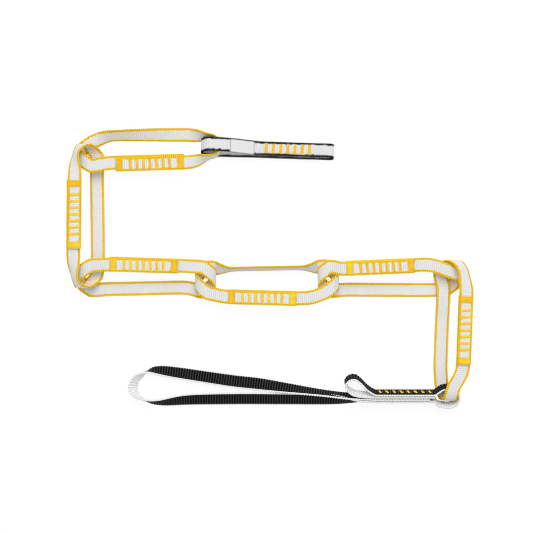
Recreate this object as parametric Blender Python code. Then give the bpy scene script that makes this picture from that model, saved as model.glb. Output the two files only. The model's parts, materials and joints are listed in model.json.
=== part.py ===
"""Climbing daisy chain, laid out flat as it rests on a table.

Six sewn tape links are threaded through each other. A sewn end loop takes a
carabiner at one end of the row, and a long tape sling hangs on the other.
Every tape is one strip whose two ends overlap in a stitched seam.
Metres, +Z up, the floor at zero. +X runs along the long rows of the layout.
Each joint is the place where one tape passes through the next, and the pieces
beyond it turn about the upright axis there. The third link carries the rest.
"""

import math

import bmesh
import bpy
import numpy as np

# Tape and thread
TAPE_WIDTH = 0.0118
TAPE_THICKNESS = 0.0016
TAPE_CORNER = 0.0004
LAYER_GAP = 0.0005
CROSSING_GAP = 0.0006
THREAD_THICKNESS = 0.0004
THREAD_GAP = 0.0002
FLOOR_GAP = 0.0002
LAYER_STEP = TAPE_THICKNESS + LAYER_GAP
CROSSING_STEP = TAPE_THICKNESS + CROSSING_GAP
LOW_LEVEL = TAPE_THICKNESS / 2
SEWN_LOW_LEVEL = LOW_LEVEL + THREAD_THICKNESS + THREAD_GAP + FLOOR_GAP

# Links: from joint to joint, and the shape of the turned ends as shares of the width
LINK_PITCH = 0.1040
TIP_REACH_SHARE = 0.655
TURN_RADIUS_SHARE = 0.691
STRAND_OFFSET_SHARE = 0.955
APPROACH_SHARE = 1.60
TWIST_SHARE = 1.7

# Link seam: two wide tacks with a ladder of bar tacks between them
SEAM_LENGTH = 0.0575
SEAM_MARGIN = 0.0003
WIDE_TACK_LENGTH = 0.0057
TACK_SPAN = 0.0094
BAR_COUNT = 7
BAR_SPACING = 0.0055
BAR_WIDTH = 0.0020
RUNNING_THREAD_WIDTH = 0.0007
BOBBIN_SHARE = 0.85

# End loop: distances from the first joint, the carabiner eye and the label
END_LOOP_HEADING = -2.0
END_LOOP_REACH = 0.1030
END_SEAM_START = 0.0450
END_SEAM_LENGTH = 0.0395
END_BAR_SPACING = 0.0061
END_LAYER_SHIFT = 0.0026
END_LAYER_SPREAD = 0.0014
END_TACK_SPAN = 0.0082
EYE_HEIGHT = 0.0064
END_TIP_SHARE = 0.655
END_TOP_SHARE = 1.309
LABEL_START = 0.0160
LABEL_LENGTH = 0.0200
LABEL_WIDTH = 0.0116
LABEL_THICKNESS = 0.0003

# Sling: seam of four layers that leans back, with an eye at each end of it
SLING_SEAM_START = 0.0120
SLING_SEAM_LENGTH = 0.0490
SLING_SEAM_SIDE = 0.0014
SLING_LOOP_LENGTH = 0.2095
SLING_LAYERS = 4
SLING_LEAN = 22.0
SLING_BAR_COUNT = 8
SLING_BAR_SPACING = 0.0060
SLING_BAR_WIDTH = 0.0018
SLING_TACK_SPAN = 0.0064
FIRST_END_LENGTH = 0.0005
LAST_END_GAP = 0.0035

# Layout: heading of each link in degrees, side of its sewn strand (left is +1),
# shares of the pitch and of the strand offset, slants of the strands in degrees,
# bow of the free strand as a share of its offset, its rolls near the first and the
# second joint in degrees, shift of the seam as a share of the pitch, and how far
# the seam's inner layer stands out sideways as a share of the tape's width
LINK_HEADINGS = (183.1, 269.6, -0.9, 0.5, 0.9, 267.8)
LINK_SIDES = (1, -1, 1, -1, 1, 1)
PITCH_SHARES = (1.025, 1.005, 0.985, 0.997, 1.010, 0.957)
SEWN_STRAND_SHARES = (0.98, 0.70, 1.00, 1.40, 0.81, 0.98)
FREE_STRAND_SHARES = (1.16, 0.87, 0.69, 0.78, 0.90, 0.58)
SEWN_SLANTS = (-1.2, 0.0, -0.8, -2.1, 1.5, 0.0)
FREE_SLANTS = (-2.2, 1.2, 2.1, 0.6, -1.3, 0.0)
FREE_BOW_SHARES = (0.06, 0.02, 0.03, 0.06, 0.02, 0.02)
FREE_ROLLS = ((0.0, 62.0), (0.0, 0.0), (0.0, 0.0), (76.0, 76.0), (0.0, 0.0), (0.0, 0.0))
SEAM_SHIFT_SHARES = (-0.012, -0.012, -0.007, -0.039, -0.083, -0.055)
INNER_LAYER_SHARES = (-0.15, 0.09, 0.07, -0.06, 0.08, -0.04)

# Sling's eye on the last link: away from the seam, and to the side, in widths
LINK_EYE_SHARES = (
    (0.25, 0.28),
    (0.62, 0.50),
    (1.16, 0.54),
    (1.61, 0.32),
    (1.78, -0.10),
    (1.61, -0.56),
    (1.16, -0.76),
    (0.67, -0.74),
    (0.28, -0.64),
)
# Sling's small eye at the other end of the seam, in widths
SMALL_EYE_SHARES = (
    (0.59, -0.02),
    (1.17, 0.03),
    (1.67, 0.16),
    (2.01, 0.43),
    (2.15, 0.83),
    (1.92, 1.16),
    (1.51, 1.24),
    (1.10, 0.97),
    (0.59, 0.47),
)
# Sling's long loop from the seam and back: shares of its length and of the width
LONG_LOOP_SHARES = (
    (0.070, -0.48),
    (0.127, -0.42),
    (0.199, -0.37),
    (0.386, -0.33),
    (0.572, -0.32),
    (0.759, -0.38),
    (0.873, -0.56),
    (0.927, -0.43),
    (0.970, -0.06),
    (0.984, 0.43),
    (0.978, 0.93),
    (0.957, 1.32),
    (0.922, 1.63),
    (0.881, 1.71),
    (0.808, 1.55),
    (0.666, 1.17),
    (0.572, 0.93),
    (0.479, 0.75),
    (0.386, 0.52),
    (0.292, 0.29),
    (0.199, 0.07),
    (0.106, -0.12),
)
# Lean of the tape in degrees at each of these places
LONG_LOOP_LEANS = (5, 30, 50, 60, 62, 55, 25, 5, -20, -38, -38, -28, 0, 34, 54, 62, 66, 64, 48, 32, 22, 22)

TURN_STEPS = 12
CURVE_STEPS = 5
FREE_STEPS = 6


class TurnedEnd:
    """Shape of one end of a link, where it turns round its neighbour.

    Heights and sideways shifts are shares of the tape's width, apart from the
    free strand's height, which counts crossed tapes below it. Rolls are in
    degrees. A hold keeps the free strand up on its way over another link.
    """

    def __init__(
        self,
        top_share=1.0,
        tip_share=None,
        crossed_share=0.0,
        sewn_shift_share=0.755,
        free_shift_share=0.755,
        sewn_roll=0.0,
        free_roll=0.0,
        hold_share=0.0,
        reach_share=1.05,
    ):
        self.top = TAPE_WIDTH * top_share
        self.bottom = LOW_LEVEL + CROSSING_STEP * crossed_share
        self.tip = (self.top + self.bottom) / 2
        if tip_share:
            self.tip = TAPE_WIDTH * tip_share
        self.sewn_shift = TAPE_WIDTH * sewn_shift_share
        self.free_shift = TAPE_WIDTH * free_shift_share
        self.sewn_roll = sewn_roll
        self.free_roll = free_roll
        self.hold = TAPE_WIDTH * hold_share
        self.reach = TAPE_WIDTH * TIP_REACH_SHARE * reach_share


LOW_END = TurnedEnd(sewn_shift_share=0.78)
SHORT_END = TurnedEnd(reach_share=0.66)
TUCKED_END = TurnedEnd(sewn_shift_share=0.41, reach_share=0.72)
RAISED_END = TurnedEnd(
    top_share=1.164,
    tip_share=0.60,
    crossed_share=1.0,
    sewn_shift_share=0.80,
    free_shift_share=0.78,
)
CURLED_END = TurnedEnd(
    top_share=1.073,
    tip_share=1.073,
    crossed_share=1.82,
    sewn_shift_share=0.63,
    sewn_roll=58.0,
    free_roll=10.0,
    reach_share=1.0,
)
STANDING_END = TurnedEnd(
    top_share=0.673,
    tip_share=0.673,
    crossed_share=3.1,
    sewn_shift_share=0.655,
    free_shift_share=0.79,
    sewn_roll=78.0,
    free_roll=70.0,
    reach_share=1.0,
)
WRAPPED_END = TurnedEnd(
    top_share=1.300,
    crossed_share=1.27,
    sewn_shift_share=0.655,
    sewn_roll=34.0,
    hold_share=2.136,
    reach_share=1.74,
)
EYE_END = TurnedEnd(
    top_share=1.382,
    sewn_shift_share=0.227,
    free_shift_share=0.35,
    reach_share=0.55,
)
LINK_ENDS = (
    (STANDING_END, SHORT_END),
    (CURLED_END, CURLED_END),
    (SHORT_END, LOW_END),
    (RAISED_END, RAISED_END),
    (LOW_END, TUCKED_END),
    (WRAPPED_END, EYE_END),
)


class Route:
    """Centre line of a tape, with the direction that its outer face looks in.

    The section at a point lies square across the tape, or along its ruling,
    and is stretched there so that the tape keeps its width.
    """

    def __init__(self, points, outward, rulings=None):
        self.points = np.asarray(points, float)
        ahead = np.diff(self.points, axis=0)
        ahead /= np.linalg.norm(ahead, axis=1)[:, None]
        along = np.vstack([ahead[:1], ahead[:-1] + ahead[1:], ahead[-1:]])
        self.along = along / np.linalg.norm(along, axis=1)[:, None]
        if rulings is None:
            normals = outward - (outward * self.along).sum(axis=1)[:, None] * self.along
        else:
            normals = np.cross(rulings, self.along)
            normals *= np.sign((normals * outward).sum(axis=1))[:, None]
        self.outward = normals / np.linalg.norm(normals, axis=1)[:, None]
        self.across = np.cross(self.along, self.outward)
        if rulings is not None:
            self.across = rulings / (rulings * self.across).sum(axis=1)[:, None]


class Patch:
    """Flat patch on a seam: its middle, and the directions of the tape there."""

    def __init__(self, middle, along, outward):
        self.middle = np.asarray(middle, float)
        self.along = np.asarray(along, float) / np.linalg.norm(along)
        outward = outward - outward @ self.along * self.along
        self.outward = outward / np.linalg.norm(outward)
        self.across = np.cross(self.along, self.outward)

    def spot(self, along, across, height):
        """World point at a place on the patch."""
        return self.middle + along * self.along + across * self.across + height * self.outward


def smoothstep(share):
    """Zero to one with level ends."""
    share = np.clip(share, 0, 1)
    return share * share * (3 - 2 * share)


def catmull_rom(rows, steps):
    """Smooth curve through the rows; the first and last rows only steer it."""
    rows = np.asarray(rows, float)
    share = np.arange(steps)[:, None] / steps
    pieces = []
    for before, here, there, after in zip(rows, rows[1:], rows[2:], rows[3:]):
        slope = there - before
        bend = 2 * before - 5 * here + 4 * there - after
        twist = 3 * here - before - 3 * there + after
        pieces.append(here + (slope * share + bend * share**2 + twist * share**3) / 2)
    pieces.append(rows[-2:-1])
    return np.vstack(pieces)


def section(width, thickness, corner):
    """Outline of a tape's cross-section, across and outward, with cut corners."""
    half_width = width / 2
    half_thickness = thickness / 2
    flat = half_width - corner
    edge = half_thickness - corner
    return (
        (flat, half_thickness),
        (half_width, edge),
        (half_width, -edge),
        (flat, -half_thickness),
        (-flat, -half_thickness),
        (-half_width, -edge),
        (-half_width, edge),
        (-flat, half_thickness),
    )


def tape_section():
    """Outline of the tape that every link, the end loop and the sling are cut from."""
    return section(TAPE_WIDTH, TAPE_THICKNESS, TAPE_CORNER)


def loft(route, outline):
    """Closed mesh of an outline carried along a route."""
    mesh = bmesh.new()
    rings = []
    for centre, across, outward in zip(route.points, route.across, route.outward):
        rings.append([mesh.verts.new(centre + a * across + o * outward) for a, o in outline])
    for near, far in zip(rings, rings[1:]):
        for k in range(len(outline)):
            mesh.faces.new((near[k - 1], near[k], far[k], far[k - 1]))
    mesh.faces.new(rings[0])
    mesh.faces.new(rings[-1])
    bmesh.ops.recalc_face_normals(mesh, faces=mesh.faces)
    return mesh


def plate(patch, outline):
    """Thin plate of thread whose outline lies on a patch."""
    mesh = bmesh.new()
    base = [mesh.verts.new(patch.spot(along, across, THREAD_GAP)) for along, across in outline]
    face = mesh.faces.new(base)
    raised = bmesh.ops.extrude_face_region(mesh, geom=[face])["geom"]
    tops = [item for item in raised if isinstance(item, bmesh.types.BMVert)]
    bmesh.ops.translate(mesh, verts=tops, vec=patch.outward * THREAD_THICKNESS)
    bmesh.ops.recalc_face_normals(mesh, faces=mesh.faces)
    return mesh


def wide_tack_outline(centre):
    """Zigzag block across the tape, with its corners drawn in."""
    reach = WIDE_TACK_LENGTH / 2
    side = TACK_SPAN / 2
    nick = RUNNING_THREAD_WIDTH / 2
    return [
        (centre - reach + nick, -side),
        (centre + reach - nick, -side),
        (centre + reach, -side + nick),
        (centre + reach, side - nick),
        (centre + reach - nick, side),
        (centre - reach + nick, side),
        (centre - reach, side - nick),
        (centre - reach, -side + nick),
    ]


def ladder_outline(count, spacing, bar_width, span):
    """Bars across the tape, joined along one edge by the running thread."""
    side = span / 2
    rail = side - RUNNING_THREAD_WIDTH
    starts = [(k - (count - 1) / 2) * spacing - bar_width / 2 for k in range(count)]
    outline = [(starts[-1] + bar_width, side), (starts[0], side)]
    for start in starts:
        outline.append((start, -side))
        outline.append((start + bar_width, -side))
        if start != starts[-1]:
            outline.append((start + bar_width, rail))
            outline.append((start + spacing, rail))
    return outline


def sew_ladder(name, upper, lower, bars, thread, pivot):
    """Bar tacks on the outer patch of a seam, and the bobbin thread on the inner."""
    count, spacing, width, span = bars
    ladder = ladder_outline(count, spacing, width, span)
    place(f"{name}_bar_tacks", plate(upper, ladder), thread, pivot)
    bobbin = ladder_outline(count, spacing, width * BOBBIN_SHARE, span * BOBBIN_SHARE)
    place(f"{name}_bobbin_thread", plate(lower, bobbin), thread, pivot)


def material(name, colour, roughness):
    """Principled material of one finish."""
    made = bpy.data.materials.new(name)
    made.use_nodes = True
    shader = made.node_tree.nodes["Principled BSDF"]
    shader.inputs["Base Color"].default_value = (*colour, 1.0)
    shader.inputs["Roughness"].default_value = roughness
    shader.inputs["Metallic"].default_value = 0.0
    made.diffuse_color = (*colour, 1.0)
    return made


def place(name, mesh, finish, pivot):
    """Put a mesh in the scene under its pivot, with its origin on the joint."""
    bmesh.ops.translate(mesh, verts=mesh.verts, vec=-pivot.matrix_world.translation)
    data = bpy.data.meshes.new(name)
    mesh.to_mesh(data)
    mesh.free()
    data.materials.append(finish)
    piece = bpy.data.objects.new(name, data)
    bpy.context.scene.collection.objects.link(piece)
    piece.parent = pivot


def make_pivot(name, spot, parent=None):
    """Empty on a joint's axis, which carries the pieces that turn about it."""
    pivot = bpy.data.objects.new(name, None)
    pivot.empty_display_size = TAPE_WIDTH
    pivot.location = spot
    if parent:
        pivot.parent = parent
        pivot.location -= parent.matrix_world.translation
    bpy.context.scene.collection.objects.link(pivot)
    bpy.context.view_layer.update()
    return pivot


def heading_matrix(degrees):
    """Turn about the vertical."""
    angle = math.radians(degrees)
    return np.array(
        [
            [math.cos(angle), -math.sin(angle), 0.0],
            [math.sin(angle), math.cos(angle), 0.0],
            [0.0, 0.0, 1.0],
        ]
    )


def joint_places():
    """Joint centres in the layout, each a link's pitch on from the last."""
    places = [np.zeros(3)]
    for heading, share in zip(LINK_HEADINGS, PITCH_SHARES):
        step = heading_matrix(heading) @ np.array([LINK_PITCH * share, 0.0, 0.0])
        places.append(places[-1] + step)
    return places


def turn(joint_u, side, end, forward):
    """Turned end of a link, from the sewn strand round the tip to the free one.

    A half with no roll winds on a flat cylinder that lies across the link and
    shifts along it, so its centre line is a helix. A half with a full roll
    stands on edge and bends round an upright cylinder. Rolls between the two
    blend them. Forward is +1 at the far joint. The slopes are those that the
    strands meet the turn with.
    """
    angle = np.radians(np.linspace(90, -90, TURN_STEPS + 1))
    sewn = angle > 0
    blend = smoothstep(1 / 2 + angle / math.pi)
    roll = np.radians(end.free_roll + (end.sewn_roll - end.free_roll) * blend)
    upright = roll / (math.pi / 2)
    share = np.abs(angle) / (math.pi / 2)
    shift = np.where(sewn, end.sewn_shift, end.free_shift)
    swing = (1 - upright) * share + upright * np.sin(np.abs(angle))
    climb = (1 - upright) * np.sin(np.abs(angle)) + upright * smoothstep(share)
    height = end.tip + (np.where(sewn, end.top, end.bottom) - end.tip) * climb
    radius = TAPE_WIDTH * TURN_RADIUS_SHARE
    u = joint_u + forward * (end.reach - radius + radius * np.cos(angle))
    points = np.stack([u, side * shift * np.sign(angle) * swing, height], axis=1)
    half_height = (1 - upright) * max((end.top - end.bottom) / 2, TAPE_THICKNESS) + upright * shift
    tilt = np.sin(angle) / half_height
    outward = [forward * np.cos(angle) / radius, side * tilt * np.sin(roll), tilt * np.cos(roll)]
    rulings = [np.zeros(len(roll)), side * np.cos(roll), -np.sin(roll)]
    slopes = (1 - upright[[0, -1]]) * shift[[0, -1]] / (math.pi / 2) / radius
    return (points, np.stack(outward, axis=1), np.stack(rulings, axis=1)), slopes


def flat_strand(u):
    """Roll of a strand that lies flat, in degrees."""
    return np.zeros(len(u))


def rolled(points, roll, side, outward_sign):
    """Stretch of tape rolled about its run, its lower edge on or above the floor."""
    angle = np.radians(roll)
    edge_floor = TAPE_WIDTH / 2 * np.sin(angle) + TAPE_THICKNESS / 2 * np.cos(angle)
    points[:, 2] = np.maximum(points[:, 2], edge_floor)
    zero = np.zeros(len(points))
    outward = outward_sign * np.stack([zero, side * np.sin(angle), np.cos(angle)], axis=1)
    rulings = np.stack([zero, side * np.cos(angle), -np.sin(angle)], axis=1)
    return points, outward, rulings


def approach(line, run, turned_point, forward, slope, side, level, twist, roll, outward_sign):
    """Strand from where it runs straight to where its turn begins.

    Sideways it follows a cubic that meets the turn's slope. Its height and its
    roll ease in from those of the straight strand, given by level and twist.
    """
    share = np.linspace(0, 1, CURVE_STEPS + 2)[1:-1]
    u = turned_point[0] - forward * run * (1 - share)
    ease = smoothstep(share)
    v = line(u) + (turned_point[1] - line(u)) * ease + slope * run * (share**4 - share**3)
    z = level(u) + (turned_point[2] - level(u)) * ease
    eased_roll = twist(u) + (roll - twist(u)) * ease
    return rolled(np.stack([u, v, z], axis=1), eased_roll, side, outward_sign)


def straight(u, line, side, level, twist, outward_sign):
    """Strand along the link at the given places."""
    points = np.stack([u, line(u), level(u)], axis=1)
    return rolled(points, twist(u), side, outward_sign)


def reverse(rows):
    """The same stretch of tape, run the other way."""
    return tuple(row[::-1] for row in rows)


def link_route(index):
    """Centre line of one link in its own frame, from its first joint along +u.

    It starts in the seam as the inner layer, goes round the far turn, back
    along the free strand, round the near turn, and ends as the outer layer.
    """
    pitch = LINK_PITCH * PITCH_SHARES[index]
    side = LINK_SIDES[index]
    near_end, far_end = LINK_ENDS[index]
    offset = TAPE_WIDTH * STRAND_OFFSET_SHARE
    run = TAPE_WIDTH * APPROACH_SHARE
    sewn = side * offset * SEWN_STRAND_SHARES[index]
    free = -side * offset * FREE_STRAND_SHARES[index]
    sewn_slope = math.tan(math.radians(SEWN_SLANTS[index]))
    free_slope = math.tan(math.radians(FREE_SLANTS[index]))
    roll_near, roll_far = FREE_ROLLS[index]
    far_turn, far_slopes = turn(pitch, side, far_end, 1)
    near_turn, near_slopes = turn(0.0, side, near_end, -1)
    far = far_turn[0]
    near = near_turn[0]

    def inner_level(u):
        share = (u - near[0, 0]) / (far[0, 0] - near[0, 0])
        return near_end.top + (far_end.top - near_end.top) * share

    def outer_level(u):
        return inner_level(u) + LAYER_STEP

    def free_level(u):
        held = (near[-1, 0] + near_end.hold + run - u) / run
        raised = near_end.bottom - LOW_LEVEL if near_end.hold else 0.0
        return LOW_LEVEL + raised * smoothstep(held)

    def free_twist(u):
        inside = np.minimum(u - near[-1, 0], far[-1, 0] - u) / (TAPE_WIDTH * TWIST_SHARE)
        return (roll_near + (roll_far - roll_near) * u / pitch) * smoothstep(inside)

    def outer_line(u):
        return sewn + sewn_slope * (u - pitch / 2)

    def inner_line(u):
        return outer_line(u) + side * TAPE_WIDTH * INNER_LAYER_SHARES[index]

    def free_line(u):
        bow = 1 - (2 * u / pitch - 1) ** 2
        return free * (1 + FREE_BOW_SHARES[index] * bow) + free_slope * (u - pitch / 2)

    middle = pitch * (1 / 2 + SEAM_SHIFT_SHARES[index])
    half_seam = SEAM_LENGTH / 2 + SEAM_MARGIN
    seam_u = np.array([middle - half_seam, middle, middle + half_seam])
    run_far = min(run, far[0, 0] - seam_u[2])
    run_near = min(run, seam_u[0] - near[0, 0])
    sewn_far = (inner_line, run_far, far[0], 1, -side * far_slopes[0], side)
    sewn_near = (outer_line, run_near, near[0], -1, -side * near_slopes[0], side)
    free_far = (free_line, run, far[-1], 1, side * far_slopes[1], side)
    free_near = (free_line, run, near[-1], -1, side * near_slopes[1], side)
    to_far = approach(*sewn_far, inner_level, flat_strand, far_end.sewn_roll, 1)
    from_far = approach(*free_far, free_level, free_twist, far_end.free_roll, -1)
    to_near = approach(*free_near, free_level, free_twist, near_end.free_roll, -1)
    from_near = approach(*sewn_near, outer_level, flat_strand, near_end.sewn_roll, 1)
    free_start = far[-1, 0] - run
    free_end = near[-1, 0] + max(near_end.hold, run)
    free_u = np.linspace(free_start, free_end, FREE_STEPS + 2)[1:-1]
    if near_end.hold:
        free_u = np.concatenate([free_u[:-1], free_end + run * np.linspace(1, 0, CURVE_STEPS)])
    pieces = [
        straight(seam_u, inner_line, side, inner_level, flat_strand, 1),
        to_far,
        far_turn,
        reverse(from_far),
        straight(free_u, free_line, side, free_level, free_twist, -1),
        to_near,
        reverse(near_turn),
        reverse(from_near),
        straight(seam_u, outer_line, side, outer_level, flat_strand, 1),
    ]
    return [np.vstack(rows) for rows in zip(*pieces)]


def build_link(index, first_joint, pivot, finishes):
    """One sewn link: its tape, two wide tacks, the bar tacks and the bobbin thread."""
    name = f"link_{index + 1}"
    turned = heading_matrix(LINK_HEADINGS[index])
    points, outward, rulings = link_route(index)
    route = Route(points @ turned.T + first_joint, outward @ turned.T, rulings @ turned.T)
    place(f"{name}_tape", loft(route, tape_section()), finishes["link_tape"], pivot)

    start, middle, end = route.points[-3:]
    out = route.outward[-2]
    upper = Patch(middle + out * TAPE_THICKNESS / 2, end - start, out)
    under = route.points[1] - out * TAPE_THICKNESS / 2
    lower = Patch(under, route.points[2] - route.points[0], -out)
    thread = finishes["thread"]
    reach = (SEAM_LENGTH - WIDE_TACK_LENGTH) / 2
    for label, centre in (("start", -reach), ("end", reach)):
        place(f"{name}_tack_{label}", plate(upper, wide_tack_outline(centre)), thread, pivot)
    bars = (BAR_COUNT, BAR_SPACING, BAR_WIDTH, TACK_SPAN)
    sew_ladder(name, upper, lower, bars, thread, pivot)


def end_loop_route():
    """Centre line of the end loop in its own frame, from the first joint along +u.

    The tape starts between the two outer layers in the seam, runs round the
    carabiner eye, forms the upper layer, turns round the first link and ends
    as the lowest layer.
    """
    seam_end = END_SEAM_START + END_SEAM_LENGTH
    seam = np.linspace(END_SEAM_START, seam_end, 3)
    angle = np.radians(np.linspace(-90, 90, TURN_STEPS + 1))
    front = END_LAYER_SHIFT / 2
    upper = SEWN_LOW_LEVEL + 2 * LAYER_STEP
    rows = [(u, -front, SEWN_LOW_LEVEL + LAYER_STEP, 0.0, -1.0) for u in seam]

    eye_radius = EYE_HEIGHT / 2
    eye_centre = END_LOOP_REACH - eye_radius
    eye_run = np.linspace(0, 1, CURVE_STEPS + 2)[1:-1]
    eye_u = seam_end + (eye_centre - seam_end) * eye_run
    eye_lift = smoothstep(eye_run)
    for u, lift in zip(eye_u, eye_lift):
        rows.append((u, -front, SEWN_LOW_LEVEL + LAYER_STEP * (1 - lift), 0.0, -1.0))
    for a in angle:
        u = eye_centre + eye_radius * math.cos(a)
        z = SEWN_LOW_LEVEL + eye_radius * (1 + math.sin(a))
        rows.append((u, front * math.sin(a), z, math.cos(a), math.sin(a)))
    for u, lift in zip(eye_u[::-1], eye_lift[::-1]):
        rows.append((u, front, upper + (SEWN_LOW_LEVEL + EYE_HEIGHT - upper) * lift, 0.0, 1.0))
    rows += [(u, front, upper, 0.0, 1.0) for u in seam[::-1]]

    top = TAPE_WIDTH * END_TOP_SHARE
    half_height = (top - LOW_LEVEL) / 2
    turn_u = half_height - TAPE_WIDTH * END_TIP_SHARE
    rise_u = np.linspace(END_SEAM_START, turn_u, FREE_STEPS + 1)[1:-1]
    rise = smoothstep((END_SEAM_START - rise_u) / (END_SEAM_START - turn_u - TAPE_WIDTH))
    spread = END_LAYER_SPREAD * smoothstep((END_SEAM_START - rise_u) / (END_SEAM_START - turn_u))
    for u, lift, aside in zip(rise_u, rise, spread):
        rows.append((u, front + aside, upper + (top - upper) * lift, 0.0, 1.0))
    for a in angle[::-1]:
        u = turn_u - half_height * math.cos(a)
        z = LOW_LEVEL + half_height * (1 + math.sin(a))
        v = front * math.sin(a) + END_LAYER_SPREAD * (1 + math.sin(a)) / 2
        rows.append((u, v, z, -math.cos(a), math.sin(a)))
    fall = smoothstep((END_SEAM_START - rise_u[::-1]) / (END_SEAM_START - turn_u))
    for u, drop in zip(rise_u[::-1], fall):
        rows.append((u, -front, SEWN_LOW_LEVEL + (LOW_LEVEL - SEWN_LOW_LEVEL) * drop, 0.0, -1.0))
    rows += [(u, -front, SEWN_LOW_LEVEL, 0.0, -1.0) for u in seam]
    rows = np.array(rows)
    outward = np.stack([rows[:, 3], np.zeros(len(rows)), rows[:, 4]], axis=1)
    return rows[:, :3], outward


def build_end_loop(first_joint, pivot, finishes):
    """End loop with its bar tacks, bobbin thread and plain label."""
    turned = heading_matrix(END_LOOP_HEADING)
    points, outward = end_loop_route()
    route = Route(points @ turned.T + first_joint, outward @ turned.T)
    place("end_loop_tape", loft(route, tape_section()), finishes["end_tape"], pivot)

    up = np.array([0.0, 0.0, 1.0])
    along = turned @ np.array([1.0, 0.0, 0.0])
    middle_u = END_SEAM_START + END_SEAM_LENGTH / 2
    top = SEWN_LOW_LEVEL + 2 * LAYER_STEP + TAPE_THICKNESS / 2
    above = turned @ np.array([middle_u, END_LAYER_SHIFT / 2, top])
    below = turned @ np.array([middle_u, -END_LAYER_SHIFT / 2, SEWN_LOW_LEVEL - TAPE_THICKNESS / 2])
    bars = (BAR_COUNT, END_BAR_SPACING, BAR_WIDTH, END_TACK_SPAN)
    upper = Patch(above + first_joint, along, up)
    lower = Patch(below + first_joint, along, -up)
    sew_ladder("end_loop", upper, lower, bars, finishes["thread"], pivot)

    face = outward[:, 2] > 1 / 2
    order = np.argsort(points[face, 0])
    known_u = points[face, 0][order]
    known_z = points[face, 2][order]
    label_u = LABEL_START + LABEL_LENGTH * np.linspace(0, 1, FREE_STEPS + 1)
    level = np.interp(label_u, known_u, known_z)
    aside = np.interp(label_u, known_u, points[face, 1][order])
    label = Route(np.stack([label_u, aside, level], axis=1) @ turned.T + first_joint, up)
    label.points = label.points + label.outward * (TAPE_THICKNESS / 2 + LAYER_GAP + LABEL_THICKNESS / 2)
    outline = section(LABEL_WIDTH, LABEL_THICKNESS, LABEL_THICKNESS / 4)
    place("end_loop_label", loft(label, outline), finishes["label"], pivot)


def edge_height(degrees):
    """Height of a leaning tape's middle when its lower edge is just off the floor."""
    angle = np.radians(degrees)
    half_height = TAPE_WIDTH / 2 * np.cos(angle) + TAPE_THICKNESS / 2 * np.abs(np.sin(angle))
    return half_height + FLOOR_GAP


def sling_stack():
    """Directions across the width and through the layers of the leaning seam."""
    lean = math.radians(SLING_LEAN)
    width = np.array([0.0, -math.sin(lean), math.cos(lean)])
    through = np.array([0.0, math.cos(lean), math.sin(lean)])
    return width, through


def stack_point(layer, u):
    """Middle of a seam layer at a distance from the last joint, layer 0 on top."""
    through = sling_stack()[1]
    half_stack = (SLING_LAYERS - 1) / 2 * LAYER_STEP
    height = edge_height(SLING_LEAN) + half_stack * through[2]
    return np.array([-u, -SLING_SEAM_SIDE, height]) + through * (half_stack - layer * LAYER_STEP)


def eye_route(shares, seam_end, outside, first, last):
    """Curve round an eye at one end of the seam, between two of its layers."""
    start = stack_point(first, seam_end)
    finish = stack_point(last, seam_end)
    rows = np.array(shares) * TAPE_WIDTH
    fall = smoothstep(np.linspace(0, 1, len(rows) + 2)[1:-1])
    heights = start[2] + (finish[2] - start[2]) * fall
    rows = np.column_stack([outside * rows[:, 0] - seam_end, rows[:, 1], heights])
    steer = np.array([outside * TAPE_WIDTH / 2, 0.0, 0.0])
    curve = [start - steer, start, *rows, finish, finish - steer]
    return catmull_rom(curve, CURVE_STEPS)


def long_loop_route(seam_far):
    """Long loop of the sling, standing on its lower edge, and its width's directions."""
    start = stack_point(SLING_LAYERS - 1, seam_far)
    finish = stack_point(SLING_LAYERS - 2, seam_far)
    lifts = [start[2] - edge_height(SLING_LEAN), finish[2] - edge_height(SLING_LEAN)]
    shares = np.array(LONG_LOOP_SHARES)
    plan = np.column_stack([-seam_far - shares[:, 0] * SLING_LOOP_LENGTH, shares[:, 1] * TAPE_WIDTH])
    rows = np.column_stack([plan, LONG_LOOP_LEANS, np.zeros(len(plan))])
    rows[0, 3] = lifts[0] / 2
    rows[-1, 3] = lifts[1] / 2
    way_in = np.array([*start[:2], -SLING_LEAN, lifts[0]])
    way_out = np.array([*finish[:2], SLING_LEAN, lifts[1]])
    steer = np.array([TAPE_WIDTH / 2, 0.0, 0.0, 0.0])
    curve = catmull_rom([way_in + steer, way_in, *rows, way_out, way_out + steer], CURVE_STEPS)
    ahead = np.gradient(curve[:, :2], axis=0)
    ahead /= np.linalg.norm(ahead, axis=1)[:, None]
    lean = np.radians(curve[:, 2])
    height = edge_height(curve[:, 2]) + np.maximum(curve[:, 3], 0.0)
    widths = np.column_stack([np.sin(lean) * ahead[:, 1], -np.sin(lean) * ahead[:, 0], np.cos(lean)])
    return np.column_stack([curve[:, :2], height]), widths


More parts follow.
